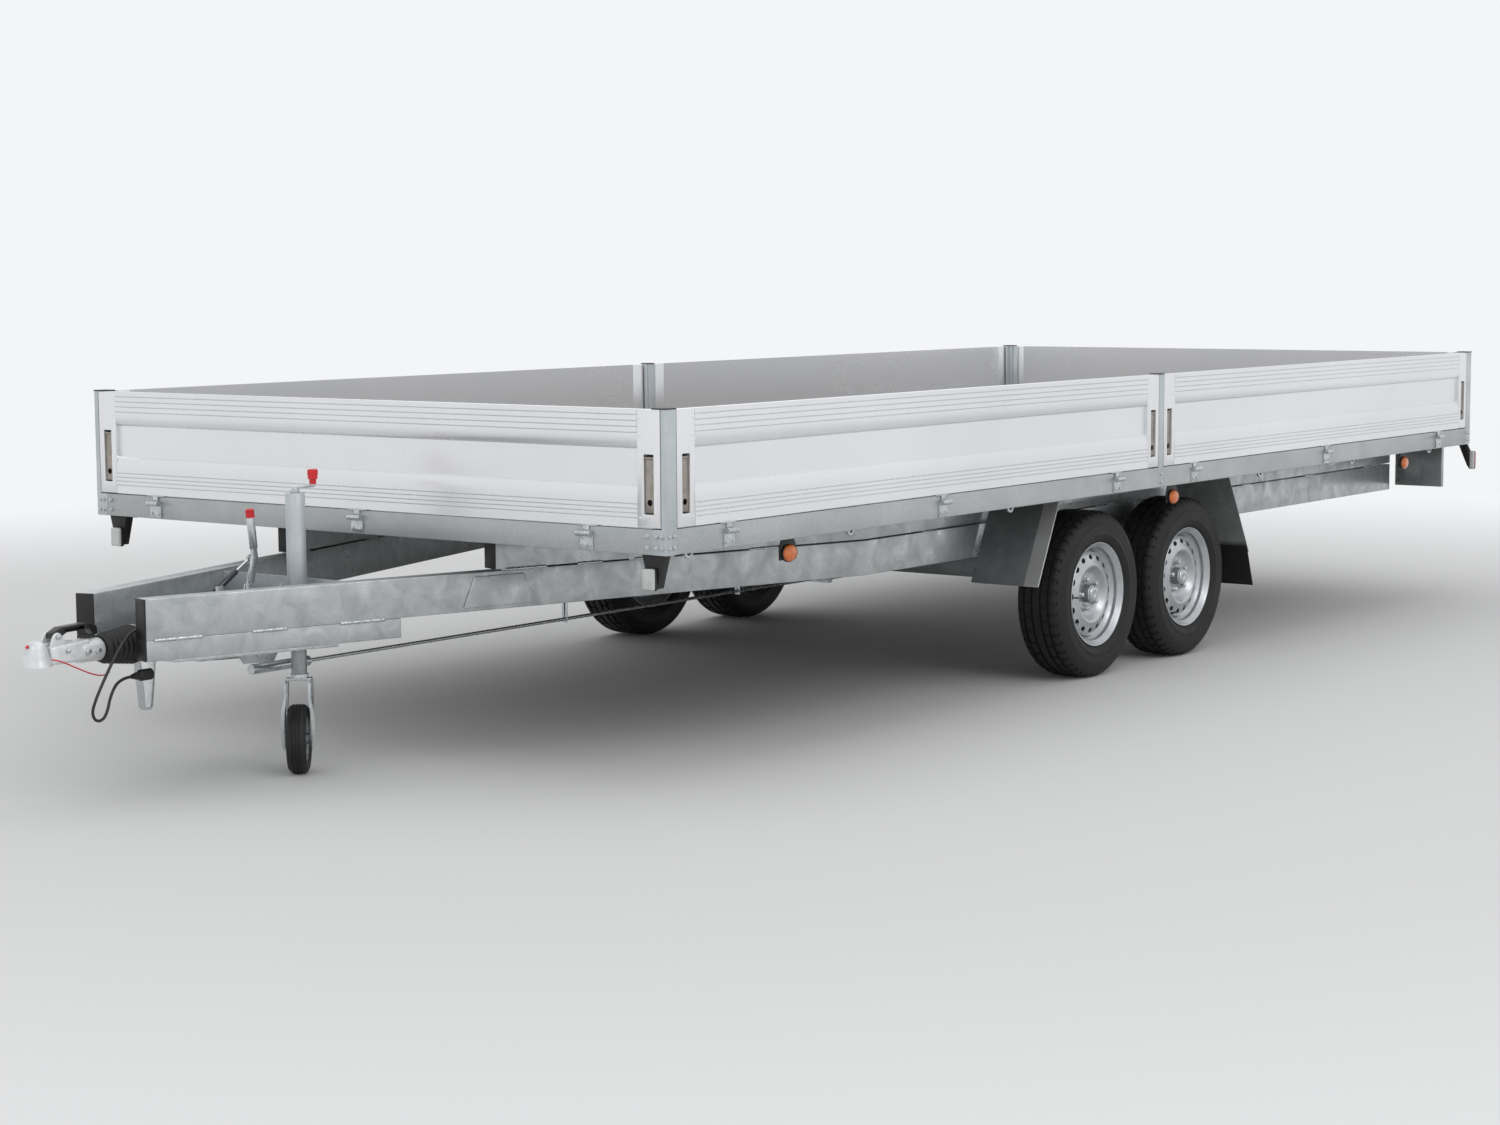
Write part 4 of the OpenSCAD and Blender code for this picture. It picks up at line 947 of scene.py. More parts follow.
@dataclass
class RoadWheel:
    """Tyre, steel rim, brake drum and hub of one size, copied to the four corners."""

    tyre_r: float = 0.312
    half_w: float = 0.098
    seat_r: float = 0.1778
    flange_r: float = 0.195
    rim_half: float = 0.083
    steps: int = 144
    vents: int = 16
    studs: int = 5
    stud_r: float = 0.056

    def tyre(self) -> bpy.types.Object:
        """Spins the tyre and presses the tread blocks into its shoulders.

        Returns:
            The tyre, about the Z axis.
        """
        half, top = self.half_w, self.tyre_r
        side = [
            (self.seat_r + 0.0004, 0.0685), (0.186, 0.0738), (0.194, 0.0765), (0.1962, 0.0785),
            (0.1985, 0.0815), (0.203, 0.0865), (0.212, 0.0925), (0.222, 0.0962),
            (0.223, 0.0972), (0.226, 0.0972), (0.227, 0.0966), (0.238, half - 0.0004),
            (0.250, half), (0.262, half - 0.0008),
            (0.263, half - 0.0022), (0.2655, half - 0.0022), (0.2665, half - 0.0014),
            (0.278, half - 0.0045), (0.290, half - 0.0098), (0.299, half - 0.0158),
            (0.3055, half - 0.0222), (0.3092, half - 0.030),
        ]
        tread = [(top - 0.0015, 0.0635)]
        for centre in (0.050, 0.018):
            tread += [(top - 0.0006, centre + 0.0052), (top - 0.0078, centre + 0.0036),
                      (top - 0.0078, centre - 0.0036), (top - 0.0003, centre - 0.0052)]
        tread.append((top, 0.0))
        inner = [(0.296, 0.0), (0.292, 0.060), (0.276, 0.084), (0.240, 0.088), (0.206, 0.076),
                 (0.188, 0.060), (self.seat_r + 0.0004, 0.055)]
        right = side + tread[:-1]
        outline = right + [tread[-1]] + [(r, -z) for r, z in reversed(right)]
        outline += [(r, -z) for r, z in reversed(inner)] + inner[1:]
        obj = lathe("tyre", outline, self.steps)
        edit(obj, False)
        bpy.ops.object.mode_set(mode="OBJECT")
        for face in obj.data.polygons:
            centre = face.center
            radius = math.hypot(centre.x, centre.y)
            step = int(round((math.atan2(centre.y, centre.x) / math.tau) * self.steps - 0.5))
            lug = radius > 0.2985 and 0.056 < abs(centre.z) < 0.084
            rib = radius > top - 0.002 and abs(centre.z) < 0.046 and abs(centre.z) > 0.014
            shift = 0 if centre.z > 0 else 1
            face.select = (lug and (step + shift) % 3 == 0) or (rib and (step + shift) % 4 == 1)
        bpy.ops.object.mode_set(mode="EDIT")
        bpy.ops.mesh.inset(thickness=0.0011, depth=-0.0042)
        done(obj)
        return smooth(obj, 38)

    def rim(self) -> bpy.types.Object:
        """Spins the rim and its dished disc, then cuts the vents and stud holes.

        Returns:
            The rim, about the Z axis.
        """
        t = 0.0034
        half = self.rim_half
        outer = [
            (0.1905, half + 0.0004), (0.1935, half + 0.0012), (self.flange_r, half - 0.0008),
            (0.1942, half - 0.0036), (0.190, half - 0.0058), (0.1835, half - 0.0085),
            (self.seat_r, half - 0.0135), (self.seat_r, 0.051), (0.1735, 0.0485), (0.1665, 0.0425),
            (0.1605, 0.038), (0.1605, -0.036), (0.1665, -0.041), (self.seat_r, -0.050),
            (self.seat_r, -half + 0.0135), (0.1835, -half + 0.0085), (0.1942, -half + 0.0036),
            (self.flange_r, -half + 0.0008), (0.1905, -half),
        ]
        inner = [
            (0.187, -half + 0.002), (0.1800, -half + 0.0115), (self.seat_r - t, -half + 0.0165),
            (self.seat_r - t, -0.052), (0.1640, -0.0438), (0.1572, -0.038), (0.1572, 0.0365),
            (0.1640, 0.0405), (0.1706, 0.0468), (self.seat_r - t, 0.0535),
            (self.seat_r - t, half - 0.0165), (0.1800, half - 0.0105), (0.187, half - 0.0040),
        ]
        barrel = lathe("barrel", outer + inner, 96)
        face = [
            (0.034, 0.0330), (0.046, 0.0335), (0.070, 0.0340), (0.077, 0.0350), (0.083, 0.0385),
            (0.090, 0.0470), (0.096, 0.0560), (0.102, 0.0615), (0.108, 0.0630), (0.114, 0.0615),
            (0.120, 0.0580), (0.128, 0.0545), (0.138, 0.0515), (0.148, 0.0480), (0.1535, 0.0440),
            (0.1571, 0.0380),
        ]
        back = [(r, z - 0.0042) for r, z in reversed(face)]
        disc = lathe("disc", face + back, 96)
        tools = []
        for i in range(self.vents):
            hole = lathe("vent", [(0.0, -0.03), (0.0098, -0.03), (0.0098, 0.03), (0.0, 0.03)], 24,
                         False)
            stretch = Matrix.Diagonal((1.0, 1.3, 1.0, 1.0))
            turn = Matrix.Rotation(i * math.tau / self.vents, 4, "Z")
            lean = Matrix.Rotation(math.radians(18), 4, "Y")
            move(hole, turn @ Matrix.Translation((0.1375, 0, 0.051)) @ lean @ stretch)
            tools.append(hole)
        for i in range(self.studs):
            hole = lathe("stud_hole", [(0.0, 0.0), (0.0075, 0.0), (0.0075, 0.06), (0.0, 0.06)], 20,
                         False)
            turn = Matrix.Rotation(i * math.tau / self.studs, 4, "Z")
            move(hole, turn @ Matrix.Translation((self.stud_r, 0, 0.01)))
            tools.append(hole)
        cut(disc, join("vent_tools", tools))
        weld = lathe("disc_weld", [(0.1530, 0.0445), (0.1571, 0.0480), (0.1571, 0.0445)], 96)
        valve = lathe("valve", [(0.0, 0.0), (0.0042, 0.0), (0.0042, 0.018), (0.0028, 0.020),
                                (0.0028, 0.034), (0.0034, 0.034), (0.0034, 0.042), (0.0, 0.043)],
                      16, False)
        lean = Matrix.Rotation(math.radians(-22), 4, "Y")
        move(valve, Matrix.Translation((0.163, 0, 0.047)) @ lean)
        dress(valve, BLACK_PLASTIC)
        dress(smooth(join("rim", [barrel, disc, weld]), 28), RIM_SILVER)
        rim = bpy.data.objects["rim"]
        return join("rim", [rim, valve])

    def hub(self) -> bpy.types.Object:
        """Makes the drum, hub nose, dust cap and the wheel bolts.

        Returns:
            The hub, about the Z axis.
        """
        drum = lathe("drum", [
            (0.036, -0.070), (0.113, -0.070), (0.115, -0.068), (0.115, -0.050), (0.112, -0.048),
            (0.112, -0.010), (0.115, -0.008), (0.115, 0.026), (0.112, 0.0285), (0.0335, 0.0285),
            (0.0325, 0.0575), (0.031, 0.0605), (0.021, 0.0605), (0.021, -0.070),
        ], 72)
        lobes = []
        bolts = []
        for i in range(self.studs):
            turn = Matrix.Rotation(i * math.tau / self.studs, 4, "Z")
            lobe = lathe("lobe", [(0.0, 0.0), (0.0165, 0.0), (0.0150, 0.0030), (0.0115, 0.0036),
                                  (0.0, 0.0036)], 28, False)
            move(lobe, turn @ Matrix.Translation((self.stud_r, 0, 0.0340)))
            lobes.append(lobe)
            cone = lathe("bolt_cone", [(0.0, 0.0), (0.0112, 0.0), (0.0118, 0.0012), (0.0112, 0.004),
                                       (0.0, 0.005)], 24, False)
            head = lathe("bolt_head", [(0.0, 0.004), (0.0098, 0.004), (0.0098, 0.0165),
                                       (0.0080, 0.0185), (0.0, 0.0190)], 6, False)
            round_edges(head, 0.0006, 2)
            bolt = join("bolt", [cone, head])
            move(bolt, turn @ Matrix.Translation((self.stud_r, 0, 0.0372)))
            bolts.append(bolt)
        cap = lathe("dust_cap", [
            (0.0, 0.056), (0.0300, 0.056), (0.0320, 0.0575), (0.0320, 0.0600), (0.0295, 0.0620),
            (0.0285, 0.0665), (0.0250, 0.0700), (0.0140, 0.0715), (0.0120, 0.0705), (0.0, 0.0705),
        ], 48, False)
        dress(smooth(drum, 30), AXLE_ZINC)
        dress(smooth(join("lobes", lobes), 30), RIM_SILVER)
        dress(smooth(join("bolts", [*bolts, cap]), 30), PLATE_ZINC)
        return join("hub", [drum, bpy.data.objects["lobes"], bpy.data.objects["bolts"]])

    def build(self, frame: Frame) -> None:
        """Builds one wheel and copies it to the four corners.

        Args:
            frame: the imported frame.
        """
        tyre = dress(self.tyre(), TYRE)
        rim = self.rim()
        hub = self.hub()
        turned = 0
        for end in ("front", "rear"):
            for side, name in ((1, "left"), (-1, "right")):
                low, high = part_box(f"tyre_{end}_{name}")
                centre = (low + high) / 2
                mirror = Matrix.Diagonal((1, side, 1, 1))
                spin = Matrix.Rotation(math.radians(31 * turned), 4, "Z")
                place = Matrix.Translation(centre) @ mirror @ AXIS_Y @ spin
                turned += 1
                frame.set_in(twin(tyre, f"tyre_{end}_{name}_shape", place), f"tyre_{end}_{name}")
                frame.set_in(twin(rim, f"rim_{end}_{name}_shape", place), f"rim_{end}_{name}")
                frame.set_in(twin(hub, f"hub_{end}_{name}", place), f"rim_{end}_{name}", False)
        for spare in (tyre, rim, hub):
            bpy.data.objects.remove(spare)


# ---- Chassis -----------------------------------------------------------------------------------


@dataclass
class Chassis:
    """Beams, rails, deck, posts, axles and guards, with their welds."""

    beam_radius: float = 0.007
    rail_radius: float = 0.003
    bend: tuple[float, float] = (1.006, 1.530)
    outer: tuple[float, float] = (0.150, 0.900)
    bead_radius: float = 0.0050
    stitch_radius: float = 0.0034
    stitch_start: float = 0.30
    stitch_pitch: float = 0.62
    stitch_len: float = 0.09
    stitches: int = 7
    board_plates: tuple[float, float] = (0.007, 0.036)
    # Widths of the guards' bright strip, a painted highlight, and of their darker liner, painted shade.
    highlight_strip_w: float = 0.060
    shade_liner_w: float = 0.220
    guard_foot: tuple[float, float] = (2.190, 0.390)
    guard_head: tuple[float, float] = (2.340, 0.697)
    plain: dict[str, tuple[Finish, float, int]] = field(default_factory=lambda: {
        "plastic_caps": (BLACK_PLASTIC, 0.0015, 2),
        "cross_members": (RAIL_ZINC, 0.002, 1),
        "posts": (POST_ZINC, 0.0012, 2),
        "rail_hardware": (PLATE_ZINC, 0.0006, 2),
        "hinge_brackets": (PLATE_ZINC, 0.0008, 2),
        "axle_tubes": (AXLE_ZINC, 0.004, 2),
        "mud_flaps": (FLAP, 0.001, 1),
        "lamp_brackets": (BLACK_PLASTIC, 0.0015, 2),
        "brake_rod": (PLATE_ZINC, 0.0005, 1),
        "mudguards": (GUARD_ZINC, 0.0005, 1),
    })

    def build(self, frame: Frame) -> None:
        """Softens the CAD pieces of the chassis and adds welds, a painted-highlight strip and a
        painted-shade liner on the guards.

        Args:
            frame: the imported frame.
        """
        for node in ("main_beam_left", "main_beam_right", "upper_beams", "drawbar_stiffeners"):
            frame.soften(node, BEAM_ZINC, self.beam_radius, 3)
        for node in ("side_rails", "end_rails"):
            frame.soften(node, RAIL_ZINC, self.rail_radius, 2)
        for node, (finish, radius, segments) in self.plain.items():
            frame.soften(node, finish, radius, segments)
        dress(frame.loaded["nodes"]["deck"], PLY_BROWN)
        for name in ("left", "right"):
            for end in ("front", "rear"):
                frame.soften(f"arm_{end}_{name}", AXLE_ZINC, 0.002, 2)
        self.welds(frame)
        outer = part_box("mudguards")[1].y
        # The strip on the guard's outer edge stands for a real folded flange, but its brighter finish is a
        # painted highlight for the light that the fold catches.
        inner = outer - self.highlight_strip_w
        self.guard_plate(frame, "guard_painted_highlight_strip", inner, outer, 0.0006, WALL_Y)
        # The darker liner inboard of the strip is painted shade: a darker sheet where the downward-facing
        # plate lies in shadow.
        self.guard_plate(frame, "guard_painted_shade_liner", inner - 0.002 - self.shade_liner_w, inner - 0.002, 0.0004,
                         AXLE_ZINC)
        self.bare_boards(frame)

    def bare_boards(self, frame: Frame) -> None:
        """Gives the folded plates behind the rear lamps their bare zinc.

        Args:
            frame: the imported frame.
        """
        board = bpy.data.objects["lamp_brackets_shape"]
        board.data.materials.append(PAINT.get(GUARD_ZINC))
        for face in board.data.polygons:
            if self.board_plates[0] < face.center.x - frame.bed_rear < self.board_plates[1]:
                face.material_index = 1

    def slant(self, frame: Frame, s: float, d: float) -> Vector:
        """Gives a point s along the slanted beam and d inside its outer face, on the left.

        Args:
            frame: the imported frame.
            s: how far along the beam the point is, from its front end.
            d: how far inside the outer face it is.

        Returns:
            The point, at height 0.
        """
        angle = math.atan2(self.outer[1] - self.outer[0], sum(self.bend))
        front = frame.bed_front + self.bend[0]
        return Vector((front - s * math.cos(angle) - d * math.sin(angle),
                       self.outer[0] + s * math.sin(angle) - d * math.cos(angle), 0.0))

    def bead(self, start: Vector, end: Vector, radius: float) -> bpy.types.Object:
        """Makes one lumpy weld bead between two points.

        Args:
            start: where the bead begins.
            end: where it ends.
            radius: half its height.

        Returns:
            The bead.
        """
        run = end - start
        steps = max(8, int(run.length / 0.006))
        profile = [(0.0, 0.0)]
        for i in range(1, steps):
            swell = 1.0 + 0.16 * math.sin(i * 2.4) + 0.1 * math.sin(i * 5.1 + 1.0)
            profile.append((radius * swell, run.length * i / steps))
        profile.append((0.0, run.length))
        obj = lathe("bead", profile, 8, False)
        turn = Vector((0, 0, 1)).rotation_difference(run).to_matrix().to_4x4()
        return move(obj, Matrix.Translation(start) @ turn)

    def welds(self, frame: Frame) -> None:
        """Lays stitch welds along the seams of the stacked beams.

        Args:
            frame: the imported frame.
        """
        seam_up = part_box("main_beam_left")[1].z + 0.0025
        seam_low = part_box("main_beam_left")[0].z
        start = (self.bend[0] + 0.115) / math.cos(math.atan2(0.75, sum(self.bend)))
        beads = []
        for s, length, z in ((0.02, 0.16, seam_low), (0.33, 0.12, seam_low), (0.62, 0.16, seam_low),
                             (start + 0.03, 0.16, seam_up), (start + 0.30, 0.10, seam_up),
                             (start + 0.52, 0.16, seam_up), (start + 0.98, 0.16, seam_up)):
            a = self.slant(frame, s, -0.0004)
            b = self.slant(frame, s + length, -0.0004)
            for side in (1, -1):
                beads.append(self.bead(Vector((a.x, side * a.y, z)), Vector((b.x, side * b.y, z)),
                                       self.bead_radius))
        for i in range(self.stitches):
            x = frame.bed_rear + self.stitch_start + i * self.stitch_pitch
            for side in (1, -1):
                y = side * (self.outer[1] + 0.0003)
                beads.append(self.bead(Vector((x, y, seam_up)),
                                       Vector((x + self.stitch_len, y, seam_up)),
                                       self.stitch_radius))
        whole = dress(smooth(join("weld_beads", beads), 60), PLATE_ZINC)
        frame.set_in(whole, "upper_beams", False)

    def guard_plate(self, frame: Frame, name: str, inner: float, outer: float, lift: float,
                    finish: Finish) -> None:
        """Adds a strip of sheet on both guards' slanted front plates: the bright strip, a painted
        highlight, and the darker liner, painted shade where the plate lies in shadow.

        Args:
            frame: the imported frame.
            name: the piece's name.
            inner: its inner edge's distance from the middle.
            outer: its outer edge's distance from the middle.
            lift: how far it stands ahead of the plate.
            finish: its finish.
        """
        foot = Vector((frame.bed_front - self.guard_foot[0], inner, self.guard_foot[1]))
        run = Vector((self.guard_head[0] - self.guard_foot[0], 0,
                      self.guard_head[1] - self.guard_foot[1]))
        lean = Matrix.Rotation(-math.atan2(run.x, run.z), 4, "Y")
        plates = []
        for side in (1, -1):
            plate = bar(name, (lift, 0.0, 0.001), (lift + 0.0018, outer - inner, run.length - 0.001),
                        0.0008)
            move(plate, Matrix.Translation(foot) @ lean)
            plates.append(handed(plate, side))
        frame.set_in(dress(join(name, plates), finish), "mudguards", False)


# ---- Lamps -------------------------------------------------------------------------------------


@dataclass
class Lamps:
    """Round amber side markers, clear front lamps and the red rear lamps."""

    marker_back: tuple[float, ...] = (0.664, 3.176, 5.350)
    marker_z: float = 0.647

    def round_lamp(self, radius: float, depth: float, finish: Finish) -> bpy.types.Object:
        """Makes a domed round lens on a black ring, facing +Z.

        Args:
            radius: the lens's radius.
            depth: how far it stands out.
            finish: the lens's finish.

        Returns:
            The lamp.
        """
        lens = lathe("lens", [(0.0, 0.004), (radius * 0.92, 0.004), (radius * 0.95, depth * 0.45),
                              (radius * 0.8, depth * 0.78), (radius * 0.45, depth * 0.95),
                              (0.0, depth)], 40, False)
        ring = lathe("ring", [(0.0, 0.0), (radius, 0.0), (radius, 0.0065), (radius * 0.93, 0.008),
                              (radius * 0.93, 0.003), (0.0, 0.003)], 40, False)
        dress(smooth(lens, 50), finish)
        dress(smooth(ring, 30), BLACK_PLASTIC)
        return join("lamp", [lens, ring])

    def build(self, frame: Frame) -> None:
        """Builds every lamp in its place.

        Args:
            frame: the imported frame.
        """
        markers = []
        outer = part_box("marker_lamps")[1].y
        for side in (1, -1):
            turn = AXIS_Y if side > 0 else Matrix.Rotation(math.pi / 2, 4, "X")
            for back in self.marker_back:
                lamp = self.round_lamp(0.031, 0.020, AMBER)
                place = (frame.bed_front - back, side * (outer - 0.020), self.marker_z)
                move(lamp, Matrix.Translation(place) @ turn @ Matrix.Diagonal((1.2, 0.92, 1, 1)))
                markers.append(lamp)
            lens = bar("front_lens", (frame.bed_front - 0.020, 0, 0.5915),
                       (frame.bed_front - 0.0055, 0.044, 0.6550), 0.005, 3)
            case = bar("front_case", (frame.bed_front - 0.027, -0.001, 0.590),
                       (frame.bed_front - 0.0145, 0.046, 0.656), 0.004, 2)
            dress(smooth(lens, 40), CLEAR)
            dress(smooth(case, 40), BLACK_PLASTIC)
            lamp = join("front_lamp", [lens, case])
            move(lamp, Matrix.Translation((0, side * (frame.half_width - 0.0775) - 0.0225, 0)))
            markers.append(lamp)
        frame.set_in(join("side_and_front_lamps", markers), "marker_lamps")
        self.rear(frame)

    def rear(self, frame: Frame) -> None:
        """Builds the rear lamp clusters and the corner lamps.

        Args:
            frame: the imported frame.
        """
        x = frame.bed_rear
        half = frame.half_width
        pieces = []
        for side in (1, -1):
            for index, finish in enumerate((RED_LENS, AMBER, RED_LENS)):
                y = half - 0.345 + 0.004 + index * 0.072
                lens = bar("rear_lens", (x + 0.003, y, 0.534), (x + 0.018, y + 0.068, 0.626),
                           0.005, 3)
                pieces.append(handed(dress(smooth(lens, 40), finish), side))
            case = bar("rear_case", (x + 0.012, half - 0.345, 0.530), (x + 0.031, half - 0.125, 0.630),
                       0.004, 2)
            pieces.append(handed(dress(smooth(case, 40), BLACK_PLASTIC), side))
            for finish, x0, x1 in ((CLEAR, x - 0.004, x + 0.010), (RED_LENS, x - 0.020, x - 0.006)):
                lens = bar("corner_lens", (x0, half + 0.0048, 0.5815), (x1, half + 0.026, 0.6625),
                           0.005, 3)
                pieces.append(handed(dress(smooth(lens, 40), finish), side))
            body = bar("corner_body", (x - 0.0065, half + 0.004, 0.580), (x - 0.0035, half + 0.025, 0.664),
                       0.001, 1)
            pieces.append(handed(dress(body, BLACK_PLASTIC), side))
        frame.set_in(join("rear_and_corner_lamps", pieces), "rear_lamps")


# ---- Coupling and handbrake --------------------------------------------------------------------


@dataclass
class Coupling:
    """Cast head, grip, bellows, overrun housing and handbrake."""

    draw_z: float = 0.450
    tip: float = 1.321
    ball_back: float = 0.043
    lever_y: float = -0.020
    lever_grip: tuple[Point, Point] = ((0.428, 0.689), (0.441, 0.805))

    def build(self, frame: Frame) -> None:
        """Builds the coupling's pieces.

        Args:
            frame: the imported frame.
        """
        frame.soften("overrun_housing", PLATE_ZINC, 0.0025, 2)
        frame.soften("overrun_tube", PLATE_ZINC, 0.0, 1)
        frame.soften("handbrake_lever", PLATE_ZINC, 0.0015, 2)
        frame.soften("gas_strut_cylinder", STRUT_BLUE, 0.0015, 2)
        frame.soften("gas_strut_rod", PLATE_ZINC, 0.0008, 2)
        frame.soften("coupling_handle", GRIP_BLACK, 0.0035, 3)
        self.head(frame)
        self.bellows(frame)
        self.lever_tip(frame)
        self.fastenings(frame)

    def head(self, frame: Frame) -> None:
        """Models the cast head: ball cup with its flared lip, cheeks, lugs and sleeve.

        Args:
            frame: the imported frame.
        """
        ball = frame.bed_front + self.tip - self.ball_back
        r = 0.0256
        dome = [(r * math.sin(a), r * math.cos(a)) for a in
                (math.radians(d) for d in (90, 75, 60, 45, 30, 15))]
        cup = lathe("cup", [
            (0.0, 0.0455), (0.012, 0.0448), (0.020, 0.0418), (0.0265, 0.0355), (0.0305, 0.0250),
            (0.0335, 0.0130), (0.0366, 0.0), (0.0400, -0.0120), (0.0438, -0.0210),
            (0.0448, -0.0258), (0.0290, -0.0260), (0.0256, -0.0230), *dome, (0.0, r),
        ], 64, False)
        move(cup, Matrix.Translation((ball, 0, self.draw_z)))
        back = ball - 0.175
        body = prism("body", [
            (back, -0.0305), (back + 0.020, -0.0305), (back + 0.060, -0.0365), (ball - 0.052, -0.0385),
            (ball - 0.030, -0.0345), (ball - 0.030, 0.0345), (ball - 0.052, 0.0385),
            (back + 0.060, 0.0365), (back + 0.020, 0.0305), (back, 0.0305),
        ], 0.055)
        move(body, Matrix.Translation((0, 0, self.draw_z - 0.023)))
        edit(body, False)
        bpy.ops.object.mode_set(mode="OBJECT")
        for vertex in body.data.vertices:
            if vertex.co.z > self.draw_z:
                along = (vertex.co.x - back) / (ball - back)
                vertex.co.z += 0.004 - 0.010 * along
                vertex.co.y *= 0.80
        round_edges(body, 0.0075, 4)
        sleeve = lathe("sleeve", [(0.0262, 0.0), (0.0325, 0.0), (0.0335, 0.0015), (0.0335, 0.070),
                                  (0.0320, 0.080), (0.0262, 0.080)], 56)
        move(sleeve, Matrix.Translation((frame.bed_front + 1.0563, 0, self.draw_z)) @ AXIS_X)
        lugs = []
        for side in (1, -1):
            lug = prism("lug", [(-0.040, 0.0), (-0.016, 0.034), (-0.009, 0.0415), (0.0, 0.0440),
                                (0.009, 0.0415), (0.016, 0.034), (0.030, 0.0)], 0.008)
            stand = Matrix.Rotation(math.pi / 2, 4, "X")
            place = (ball - 0.058, side * 0.0215 + 0.0040, self.draw_z + 0.022)
            move(lug, Matrix.Translation(place) @ stand)
            lugs.append(round_edges(lug, 0.0025, 3))
        ridge = bar("ridge", (ball - 0.125, -0.006, self.draw_z + 0.024),
                    (ball - 0.020, 0.006, self.draw_z + 0.0375), 0.004, 3)
        whole = smooth(join("cast_head", [cup, body, sleeve, *lugs, ridge]), 40)
        frame.set_in(dress(whole, CAST_WHITE), "coupling_head")

    def bellows(self, frame: Frame) -> None:
        """Spins the rubber sleeve with round folds.

        Args:
            frame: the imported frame.
        """
        low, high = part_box("bellows")
        length = high.x - low.x
        folds = 7
        steps = 10
        outline = []
        for i in range(folds * steps + 1):
            t = i / (folds * steps)
            wave = 0.5 - 0.5 * math.cos(i / steps * math.tau)
            outline.append((0.0545 - 0.0145 * t + 0.0045 * wave, t * length * 0.94))
        outline += [(0.0385, length * 0.95), (0.0385, length), (0.034, length)]
        outline += [(r - 0.003, z) for r, z in reversed(outline[:-3])]
        obj = lathe("bellows_sleeve", outline, 56)
        move(obj, Matrix.Translation((low.x, 0, self.draw_z)) @ AXIS_X)
        frame.set_in(dress(smooth(obj, 60), RUBBER), "bellows")

    def lever_tip(self, frame: Frame) -> None:
        """Adds the red cap on the handbrake lever's end.

        Args:
            frame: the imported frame.
        """
        sleeve = lathe("lever_sleeve", [(0.0, 0.0022), (0.0105, 0.0022), (0.0134, -0.0006),
                                        (0.0138, -0.024), (0.0128, -0.024), (0.0128, 0.0004),
                                        (0.0, 0.0004)], 36, False)
        start, tip = (Vector((frame.bed_front + x, self.lever_y, z)) for x, z in self.lever_grip)
        lean = Vector((0, 0, 1)).rotation_difference(tip - start).to_matrix().to_4x4()
        move(sleeve, Matrix.Translation(tip) @ lean)
        frame.set_in(dress(smooth(sleeve, 40), RED_PLASTIC), "handbrake_lever", False)

    def fastenings(self, frame: Frame) -> None:
        """Adds the cross bolts of the coupling head and its red wear mark.

        Args:
            frame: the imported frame.
        """
        tip = frame.bed_front + self.tip
        parts = []
        for x, z, reach, radius in ((tip - 0.236, 0.450, 0.0325, 0.0105),
                                    (tip - 0.200, 0.452, 0.0325, 0.0105),
                                    (tip - 0.128, 0.462, 0.0345, 0.0070),
                                    (tip - 0.101, 0.504, 0.0255, 0.0080)):
            for side in (1, -1):
                head = lathe("cross_bolt", [(0.0, 0.0), (radius, 0.0), (radius, 0.0060),
                                            (radius * 0.85, 0.0075), (0.0, 0.0075)], 6, False)
                round_edges(head, 0.0005, 2)
                turn = AXIS_Y if side > 0 else Matrix.Rotation(math.pi / 2, 4, "X")
                move(head, Matrix.Translation((x, side * reach, z)) @ turn)
                parts.append(head)
        frame.set_in(dress(smooth(join("head_bolts", parts), 30), PLATE_ZINC), "coupling_head", False)
        mark = lathe("wear_mark", [(0.0, 0.0), (0.006, 0.0), (0.0055, 0.0012), (0.0, 0.0016)], 20,
                     False)
        lean = Matrix.Rotation(math.radians(52), 4, "Y")
        move(mark, Matrix.Translation((tip - 0.0125, 0.0, 0.4835)) @ lean)
        frame.set_in(dress(mark, RED_PLASTIC), "coupling_head", False)


# ---- Jockey wheel ------------------------------------------------------------------------------


